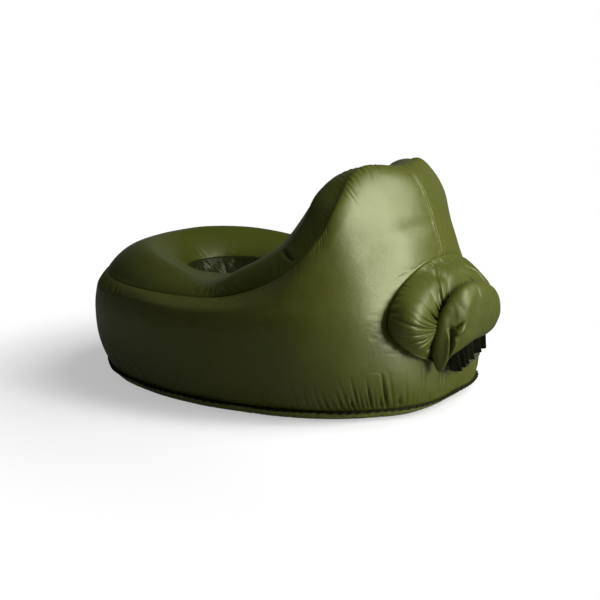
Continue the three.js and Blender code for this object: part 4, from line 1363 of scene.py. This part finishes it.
@dataclass
class Closure:
    """The neck's two panels, the rolled mouth and its pleated hem.

    Each station of the roll has its place across the chair, its top, its foot, a share of the roll's depth
    and how far it curls to the front. A fold has its height, its two ends and its half width.
    """

    neck: NeckShape
    height: float = 140
    depth: float = 62
    lean: float = 12
    foot: float = 112
    standoff: float = 42
    stations: tuple = (
        (-99, 186, 166, 0.22, 0),
        (-92, 206, 148, 0.6, 0),
        (-68, 229, 134, 0.85, 0),
        (-32, 246, 131, 0.97, 0),
        (8, 254, 132, 1.0, 0),
        (44, 256, 127, 0.97, 0),
        (76, 248, 119, 0.88, 2),
        (94, 234, 113, 0.76, 6),
        (102, 225, 92, 0.64, 9),
        (110, 214, 90, 0.52, 12),
        (118, 197, 110, 0.42, 15),
        (124, 174, 136, 0.2, 17),
    )
    roll_folds: tuple = (
        (-15, (107, 178), (101, 100), 3.2),
        (6, (113, 172), (109, 92), 4.5),
        (-9, (90, 186), (108, 170), 3),
        (6, (86, 178), (104, 158), 5),
        (-5, (88, 168), (100, 154), 2.6),
        (3, (36, 242), (88, 214), 18),
        (-5, (38, 256), (64, 160), 16),
        (5, (20, 150), (70, 140), 16),
        (-1.8, (33, 250), (30, 226), 2.2),
        (-1.4, (12, 224), (-10, 186), 2.2),
        (-1.4, (2, 226), (-18, 192), 2.2),
        (-1.6, (-44, 214), (-52, 160), 5),
    )
    roll_end_swell: float = 2.0
    hem_width: float = 152
    hem_foot_width: float = 136
    hem_level: float = 79
    hem_tilt: float = 24
    hem_wave: float = 7
    hem_zigzag: float = 3
    hem_thickness: float = 1.0
    pleats: int = 6
    pleat_lap: float = 0.78
    fan_centre: tuple = (105, 415, 172)
    fan_azimuth: float = math.radians(123)
    fan_reach: float = 108
    slack_side: float = 0.82
    mouth_gap: float = 7.4
    neck_folds: tuple = (
        (-4, (90, 346, 285), (64, 386, 269), 15),
        (-5, (76, 374, 275), (56, 392, 260), 13),
        (5, (170, 366, 236), (178, 372, 190), 26),
    )
    neck_rows: int = 190
    neck_columns: int = 230
    roll_rows: int = 260
    roll_columns: int = 240

    def __post_init__(self) -> None:
        """Sets the neck's mouth just before the roll's front."""
        up = 2 * (self.neck.level - self.foot) / self.height - 1
        self.neck.mouth_back = self.middle(self.neck.level) - math.sqrt(1 - up * up) * self.depth / 2
        self.neck.mouth_back -= self.mouth_gap

    @property
    def foot_back(self) -> float:
        """How far back the roll's foot lies."""
        return self.neck.rear + self.standoff

    def middle(self, height: Array) -> Array:
        """The roll leans back by this much at a height."""
        return self.foot_back + self.lean * (height - self.foot) / self.height

    def neck_panel(self, side: Side) -> bpy.types.Object:
        """Half of the neck, puckered at its root and gathered towards the mouth.

        Args:
            side: the half that it is on; the right one is slacker.

        Returns:
            The panel.
        """
        angle = np.linspace(0, np.pi, self.neck_columns)[None]
        out = eased(self.neck_rows, 0.25)[:, None]
        neck = self.neck if side is Side.LEFT else replace(self.neck, fullness=self.slack_side)
        smooth = neck.skin(angle, out)
        normals = grid_normals(smooth)
        up, across = run_length(smooth, 0), run_length(smooth, 1)
        root = self.neck.root_inward(angle[0])
        top = unit(-normals[:, 0] * np.array([0, 1, 1]))
        low = unit(-normals[:, -1] * np.array([0, 1, 1]))
        root_edge = Edge(up, across[:1], root[None])
        top_edge = Edge(across, up[:, :1], top[:, None])
        low_edge = Edge(across[:, -1:] - across, up[:, -1:], low[:, None])
        seed = 110 if side is Side.LEFT else 130
        relief = Gathers(pitch=12, reach=13, depth=2.4, seed=seed).at(root_edge)
        relief += Gathers(pitch=9, reach=8, depth=0.7, seed=seed + 1).at(top_edge)
        relief += self.mouth_gathers(smooth, seed)
        for height, start, end, width in self.neck_folds:
            relief += height * crease(smooth, np.array(start), np.array(end), width)
        relief += 1.6 * ripple(side.place(smooth), 85, seed + 4) * np.clip(out * 4, 0, 1)
        grid = puff(smooth, normals, [root_edge, top_edge, low_edge], relief)
        grid = add_lip(grid, root, 0, False)
        ends = [np.concatenate([e[:1], e]) for e in (top, low)]
        grid = add_lip(add_lip(grid, ends[0], 1, False), ends[1], 1, True)
        name = f"neck_panel_{side.suffix}"
        panel = make_piece(f"{name}_fabric", side.place(grid), SLACK_TAFFETA, flip=side is Side.RIGHT)
        return finish_piece(panel, [name])

    def mouth_gathers(self, smooth: Array, seed: int) -> Array:
        """Deep creases that fan out of the mouth's end, by distance and bearing from it as it is seen.

        Args:
            smooth: the neck's smooth grid, (rows, columns, 3).
            seed: fixes the creases.

        Returns:
            Height above the smooth neck in millimetres, (rows, columns).
        """
        away = smooth - np.array(self.fan_centre)
        level = away @ np.array([math.cos(self.fan_azimuth), math.sin(self.fan_azimuth), 0])
        distance = np.hypot(level, away[..., 2])
        bearing = np.arctan2(away[..., 2], -level) + np.pi
        deep = Gathers(pitch=0.25, reach=38, depth=17, seed=seed + 2, width_share=0.13, lean=0.25)
        fine = Gathers(pitch=0.12, reach=24, depth=6, seed=seed + 3, width_share=0.2, lean=0.25)
        relief = deep.relief(bearing, distance) + fine.relief(bearing, distance)
        return relief * bump_at(distance, 0, self.fan_reach)

    def roll(self) -> bpy.types.Object:
        """The rolled mouth: ellipses set side by side across the chair, leaned and curled to the front.

        Its left end hangs down in a horn.

        Returns:
            The roll.
        """
        stations = np.array(self.stations, float)
        before, after = carried_on(*stations[:3]), carried_on(*stations[:-4:-1])
        x, top, foot, depth, curl = shared_spline(stations, before, after, eased(self.roll_rows, 0.3)).T
        angle = np.linspace(0, 2 * np.pi, self.roll_columns, endpoint=False)
        height = ((top + foot) / 2)[:, None] + ((top - foot) / 2)[:, None] * np.sin(angle)
        back = self.middle(height) - curl[:, None] + (depth * self.depth / 2)[:, None] * np.cos(angle)
        smooth = np.stack([np.broadcast_to(x[:, None], height.shape), back, height], axis=-1)
        normals = grid_normals(smooth, closed=True)
        if (normals * (smooth - smooth.mean(axis=(0, 1)))).sum() < 0:
            normals = -normals
        grid = smooth + normals * self.roll_relief(smooth, np.cos(angle)[None])[..., None]
        swell = np.array([self.roll_end_swell, 0, 0])
        first = np.broadcast_to(grid[0].mean(axis=0) - swell, grid[:1].shape)
        last = np.broadcast_to(grid[-1].mean(axis=0) + swell, grid[:1].shape)
        grid = np.concatenate([first, grid, last])
        name = "closure_roll_fabric"
        roll = make_piece(name, grid, SLACK_TAFFETA, closed=True, start_pole=True, end_pole=True)
        return finish_piece(roll, ["closure_roll", "mouth_fold"])

    def roll_relief(self, smooth: Array, rearward: Array) -> Array:
        """Relief of the roll: its middle seam, the folds of its wound layers and soft dents.

        Args:
            smooth: the roll's smooth grid, (rows, columns, 3).
            rearward: how far each column faces the rear, -1 to 1.

        Returns:
            Height above the smooth roll in millimetres, (rows, columns).
        """
        x, z = smooth[..., 0], smooth[..., 2]
        face = np.stack([x, z], axis=-1)
        rear = np.clip(rearward, 0, 1)
        relief = ripples(smooth, (1.3, 75, 152), (0.4, 26, 153))
        for height, start, end, width in self.roll_folds:
            relief += height * crease(face, np.array(start), np.array(end), width) * rear
        return relief

    def roll_foot(self, across: Array) -> Array:
        """Height of the roll's foot over places across it, without the horn."""
        stations = np.array(self.stations[:-4], float)
        return np.interp(across, stations[:, 0], stations[:, 2])

    def hem(self) -> bpy.types.Object:
        """The mouth's hem: a strip in deep pleats, drawn in towards a zigzag edge.

        Each pleat swings evenly to the rear over its lap and back over the rest, so that it lies over the
        next. Slow sines across the hem make the pleats uneven, and they lean over on the way down.

        Returns:
            The hem.
        """
        columns = np.linspace(0, 1, 480)[None]
        down = np.linspace(-0.25, 1, 46)[:, None]
        width = self.hem_width + down * (self.hem_foot_width - self.hem_width)
        turn = 2 * np.pi * self.pleats * columns + 0.8 * np.sin(7 * columns + 1) + 1.3 * down
        lead = (turn + 0.9 * down + 0.4 * np.sin(3.3 * columns * np.pi)) % (2 * np.pi) / (2 * np.pi)
        lap = self.pleat_lap
        wave = np.where(lead < lap, 1 - 2 * lead / lap, -1 + 2 * (lead - lap) / (1 - lap))
        size = self.hem_wave * (0.75 + 0.25 * down) * (1 + 0.25 * np.sin(9 * columns))
        top = self.roll_foot(self.hem_width * (columns - 0.5))
        bottom = self.hem_level + self.hem_tilt * (1 - columns) + 1.5 * np.sin(7 * columns)
        bottom = bottom - self.hem_zigzag * np.cos(turn + 1.2)
        x = width * (columns - 0.5) + 3.0 * np.sin(turn) * np.clip(down, 0, 1)
        y = self.foot_back - size * wave
        z = top + down * (bottom - top)
        grid = np.stack(np.broadcast_arrays(x, y, z), axis=-1)
        grid[..., 1] += 0.7 * ripple(grid, 18, 161)
        # The pleats' nearly black colour is painted shade.
        hem = make_piece("mouth_hem_pleats", grid, SHADED_EDGE_TAFFETA)
        add_modifier(hem, "SOLIDIFY", thickness=self.hem_thickness * MM, offset=0.0)
        finish_piece(hem, ["mouth_hem"])
        return hem


@dataclass
class Buckle:
    """The side-release buckle's webbing and the finish of its moulded halves."""

    closure: Closure
    level: float = 83
    standoff: float = 29
    half_length: float = 17.7
    bar: float = 2.2
    slot: float = 3
    webbing_width: float = 14
    webbing_thickness: float = 1.3
    rise: float = 8
    sag: float = 3
    tail: float = 16
    loop: float = 5.4

    def dress(self) -> None:
        """Gives the moulded halves their plastic."""
        for name in ("buckle_socket", "buckle_plug", "buckle_prong_upper", "buckle_prong_lower"):
            dress_node(name, ACETAL)

    def strap(self, side: Side) -> bpy.types.Object:
        """A webbing tail: from the hem's end pleat to the buckle, through its slot, round the bar and back.

        The path is a flat curve in x and y, and the strip is swept upright along it.

        Args:
            side: the half that it is on; the left one runs to the plug, which slides.

        Returns:
            The tail.
        """
        reach = self.closure
        level = self.level + self.rise
        down = (reach.foot - level) / (reach.foot - reach.hem_level)
        hem_half = (reach.hem_width + down * (reach.hem_foot_width - reach.hem_width)) / 2
        front = reach.neck.rear + self.standoff
        hem_front = reach.foot_back - reach.hem_wave - 1.6
        slot_x = self.half_length - self.bar - self.slot / 2
        edge = self.half_length
        path = np.array(
            [
                [hem_half, hem_front - 1.0],
                [hem_half * 0.8, hem_front - 1.6],
                [hem_half * 0.55, front + 3.2],
                [edge + 6, front + 2.2],
                [edge, front + self.loop - 0.4],
                [slot_x + 0.6, front + self.loop - 1.2],
                [slot_x, front],
                [slot_x + 0.6, front - self.loop + 1.2],
                [edge, front - self.loop + 0.4],
                [edge + 6, front - 1.8],
                [edge + self.tail, front - 0.2],
            ]
        )
        run = np.concatenate([[0], np.cumsum(np.linalg.norm(np.diff(path, axis=0), axis=-1))])
        share = np.linspace(0, 1, 160)
        before, after = carried_on(*path[:3]), carried_on(*path[:-4:-1])
        flat = shared_spline(path, before, after, share)
        far = np.clip((flat[:, 0] - edge) / (hem_half - edge), 0, 1)
        z = self.level + self.rise * far - self.sag * np.sin(np.pi * far)
        across = np.linspace(-0.5, 0.5, 15)[None] * self.webbing_width
        ones = np.ones_like(across)
        grid = np.stack([flat[:, :1] * ones, flat[:, 1:] * ones, z[:, None] + across], axis=-1)
        name = f"tail_strap_{side.suffix}"
        strap = make_piece(f"{name}_webbing", side.place(grid), WEBBING, flip=side is Side.RIGHT)
        add_modifier(strap, "SOLIDIFY", thickness=self.webbing_thickness * MM, offset=0.0)
        if side is Side.RIGHT:
            finish_piece(strap, [name])
        else:
            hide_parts(name)
            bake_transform(strap)
        LOG.info("%s: %.0f mm of webbing", name, run[-1])
        return strap


def dress_node(name: str, finish: Finish) -> None:
    """Gives a CAD node its finish.

    Args:
        name: the node's name.
        finish: what it is made of.
    """
    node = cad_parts[name]
    node.data.materials.clear()
    node.data.materials.append(finish.material())


# The studio


def strongest(tree: bpy.types.NodeTree, *masks: bpy.types.NodeSocket) -> bpy.types.NodeSocket:
    """The greatest of several values, two at a time.

    Args:
        tree: the node tree.
        masks: the values.

    Returns:
        The greatest value.
    """
    most = masks[0]
    for mask in masks[1:]:
        most = add_node(tree, "ShaderNodeMath", {0: most, 1: mask}, operation="MAXIMUM").outputs[0]
    return most


@dataclass(frozen=True)
class PaperFloor(Finish):
    """Matte white background paper: white where light falls on it freely, with the chair's shadow on it.

    It throws back a little less light than it shows the camera, and less still into the fabric's satin sheen.
    """

    name: str = "matte_white_paper"
    colour: int = 0xC4C4C4
    bounce: int = 0xB8B8B8
    mirrored: int = 0x404040
    roughness: float = 0.9
    near: float = 0.5
    far: float = 0.92
    lift: float = 0.44
    glossy_share: float = 0.12

    def paint(self, tree: bpy.types.NodeTree, shader: bpy.types.Node) -> None:
        """Paper whose own strength rises to 1 away from the chair, for all rays but diffuse ones.

        Args:
            tree: the material's node tree.
            shader: its principled shader.
        """
        shader.inputs["Roughness"].default_value = self.roughness
        shader.inputs["Specular IOR Level"].default_value = 0.0
        path = add_node(tree, "ShaderNodeLightPath").outputs
        tone = srgb(self.bounce)
        for ray, colour in (("Is Glossy Ray", self.mirrored), ("Is Camera Ray", self.colour)):
            links = {"Factor": path[ray], 6: tone, 7: srgb(colour)}
            tone = add_node(tree, "ShaderNodeMix", links, data_type="RGBA").outputs[2]
        tree.links.new(tone, shader.inputs["Base Color"])
        place = add_node(tree, "ShaderNodeTexCoord")
        reach = add_node(tree, "ShaderNodeVectorMath", {0: place.outputs["Object"]}, operation="LENGTH")
        away = add_node(
            tree,
            "ShaderNodeMapRange",
            {"Value": reach.outputs["Value"], "From Min": self.near, "From Max": self.far},
            interpolation_type="SMOOTHSTEP",
        )
        glow = add_node(tree, "ShaderNodeEmission", {"Strength": 1.0})
        lift = add_node(tree, "ShaderNodeEmission", {"Strength": self.lift})
        lit = add_node(tree, "ShaderNodeAddShader", {0: shader.outputs[0], 1: lift.outputs[0]})
        shaders = {0: away.outputs[0], 1: lit.outputs[0], 2: glow.outputs[0]}
        white = add_node(tree, "ShaderNodeMixShader", shaders)
        mirrored = add_node(
            tree, "ShaderNodeMath", {0: path["Is Glossy Ray"], 1: self.glossy_share}, operation="MULTIPLY"
        )
        seeing = strongest(tree, path["Is Camera Ray"], mirrored.outputs[0], path["Is Transmission Ray"])
        seen = add_node(tree, "ShaderNodeMixShader", {0: seeing, 1: shader.outputs[0], 2: white.outputs[0]})
        tree.links.new(seen.outputs[0], tree.nodes["Material Output"].inputs["Surface"])


@dataclass(frozen=True)
class Softbox:
    """A rectangular lamp: its side, height angle, distance, width, height, power and sideways lean."""

    name: str
    azimuth: float
    elevation: float
    distance: float
    width: float
    height: float
    power: float
    lean: float = 0.0
    mirrored: bool = True


@dataclass
class Studio:
    """White paper, soft lamps and the camera at the photograph's angle."""

    target: tuple = (0.0, 0.014, 0.166)
    azimuth: float = 123
    elevation: float = 12
    distance: float = 2.6
    focal_share: float = 1.9977
    sensor: float = 36
    lamps: tuple = (
        Softbox("key_softbox", 190, 25, 2.7, 1.1, 2.6, 104, lean=34),
        Softbox("top_softbox", 215, 64, 3.0, 1.6, 1.6, 45, mirrored=False),
    )
    dome_azimuth: float = 50
    dome_elevation: float = 72
    dome_band: tuple = (0.3, 0.95)
    dome_strength: float = 0.16
    dome_light_share: float = 0.9
    backdrop_turn: float = 174
    backdrop_elevation: float = 4
    backdrop_band: tuple = (0.75, 0.99)
    backdrop_strength: float = 0.22
    floor_reach: float = 30000
    floor_drop: float = 0.3

    def build(self) -> None:
        """Makes the floor, the lamps, the world and the camera."""
        self.floor()
        self.world()
        for lamp in self.lamps:
            self.lamp(lamp)
        self.camera()

    def floor(self) -> None:
        """A plain white floor that keeps the chair's shadow."""
        x, y = np.meshgrid(*2 * [np.array([-self.floor_reach, self.floor_reach])])
        corners = np.stack([x, y, np.full_like(x, -self.floor_drop)], axis=-1)
        make_piece("floor", corners, PaperFloor())

    def world(self) -> None:
        """White surroundings. What lights the chair is dimmer: a dome, and for its sheen a backdrop."""
        world = bpy.data.worlds.new("studio")
        bpy.context.scene.world = world
        world.use_nodes = True
        tree = world.node_tree
        tree.nodes.clear()
        dome = self.patch(tree, self.dome_azimuth, self.dome_elevation, self.dome_band, self.dome_strength)
        backdrop = self.patch(
            tree,
            self.azimuth + self.backdrop_turn,
            self.backdrop_elevation,
            self.backdrop_band,
            self.backdrop_strength,
        )
        light = add_node(tree, "ShaderNodeMath", {0: dome, 1: self.dome_light_share}, operation="MULTIPLY")
        path = add_node(tree, "ShaderNodeLightPath").outputs
        mirrored = strongest(tree, dome, backdrop)
        by_ray = {"Factor": path["Is Glossy Ray"], 2: light.outputs[0], 3: mirrored}
        room = add_node(tree, "ShaderNodeMix", by_ray).outputs[0]
        clear = strongest(tree, path["Is Camera Ray"], path["Is Transmission Ray"])
        strength = add_node(tree, "ShaderNodeMix", {"Factor": clear, 2: room, 3: 1.0}).outputs[0]
        shade = add_node(tree, "ShaderNodeBackground", {"Color": (1, 1, 1, 1), "Strength": strength})
        add_node(tree, "ShaderNodeOutputWorld", {"Surface": shade.outputs[0]})

    @staticmethod
    def patch(
        tree: bpy.types.NodeTree, azimuth: float, elevation: float, band: tuple, strength: float
    ) -> bpy.types.NodeSocket:
        """A bright patch of the surroundings.

        Args:
            tree: the world's node tree.
            azimuth: the side that its middle is on.
            elevation: the height angle of its middle.
            band: the cosines of the angle from its middle at which it begins and is at its brightest.
            strength: how bright it is there.

        Returns:
            The strength, smoothly stepped over the band.
        """
        place = add_node(tree, "ShaderNodeTexCoord")
        nearness = add_node(
            tree,
            "ShaderNodeVectorMath",
            {0: place.outputs["Generated"], 1: heading(azimuth, elevation)},
            operation="DOT_PRODUCT",
        )
        begin, full = band
        step = add_node(
            tree,
            "ShaderNodeMapRange",
            {"Value": nearness.outputs["Value"], "From Min": begin, "From Max": full, "To Max": strength},
            interpolation_type="SMOOTHSTEP",
        )
        return step.outputs[0]

    def lamp(self, softbox: Softbox) -> None:
        """Hangs a softbox that faces the chair and isn't seen itself.

        Args:
            softbox: its name, place, size and power.
        """
        data = bpy.data.lights.new(softbox.name, "AREA")
        data.shape = "RECTANGLE"
        data.size = softbox.width
        data.size_y = softbox.height
        data.energy = softbox.power
        lamp = bpy.data.objects.new(softbox.name, data)
        way = Vector(heading(softbox.azimuth, softbox.elevation))
        lamp.location = Vector(self.target) + way * softbox.distance
        facing = (-way).to_track_quat("-Z", "Y") @ Quaternion((0, 0, 1), math.radians(-softbox.lean))
        lamp.rotation_euler = facing.to_euler()
        lamp.visible_camera = False
        lamp.visible_glossy = softbox.mirrored
        bpy.context.scene.collection.objects.link(lamp)

    def camera(self) -> None:
        """The camera, as far off and as long as the photograph's."""
        data = bpy.data.cameras.new("camera")
        data.sensor_width = self.sensor
        data.lens = self.sensor * self.focal_share
        camera = bpy.data.objects.new("camera", data)
        back = Vector(heading(self.azimuth, self.elevation))
        camera.location = Vector(self.target) + back * self.distance
        camera.rotation_euler = (-back).to_track_quat("-Z", "Y").to_euler()
        bpy.context.scene.collection.objects.link(camera)
        bpy.context.scene.camera = camera


def heading(azimuth: float, elevation: float) -> tuple[float, float, float]:
    """The way from the chair at an azimuth, 0 in front and 90 at the sitter's left, and an elevation."""
    a, e = math.radians(azimuth), math.radians(elevation)
    return (math.sin(a) * math.cos(e), -math.cos(a) * math.cos(e), math.sin(e))


def main() -> None:
    """Builds the chair piece by piece over the frame."""
    logging.basicConfig(level=logging.INFO, format="%(message)s")
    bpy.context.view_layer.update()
    bpy.context.scene.view_settings.view_transform = "Standard"
    Studio().build()
    body = AirBody()
    neck = NeckShape(body)
    closure = Closure(neck)
    panels = Panels(body, neck)
    for side in Side:
        panels.outer_panel(side)
        closure.neck_panel(side)
    panels.seat_back()
    panels.base_panel()
    panels.well_cover()
    panels.welt()
    closure.roll()
    closure.hem()
    buckle = Buckle(closure)
    buckle.dress()
    for side in Side:
        buckle.strap(side)
    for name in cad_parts:
        if "tape" in name:
            dress_node(name, SEALING_TAPE)
    # The sleeve takes the base's cloth, coloured paler as painted light.
    dress_node("well_sleeve", BASE_TAFFETA_PAINTED_LIGHT)


if __name__ == "__main__":
    main()
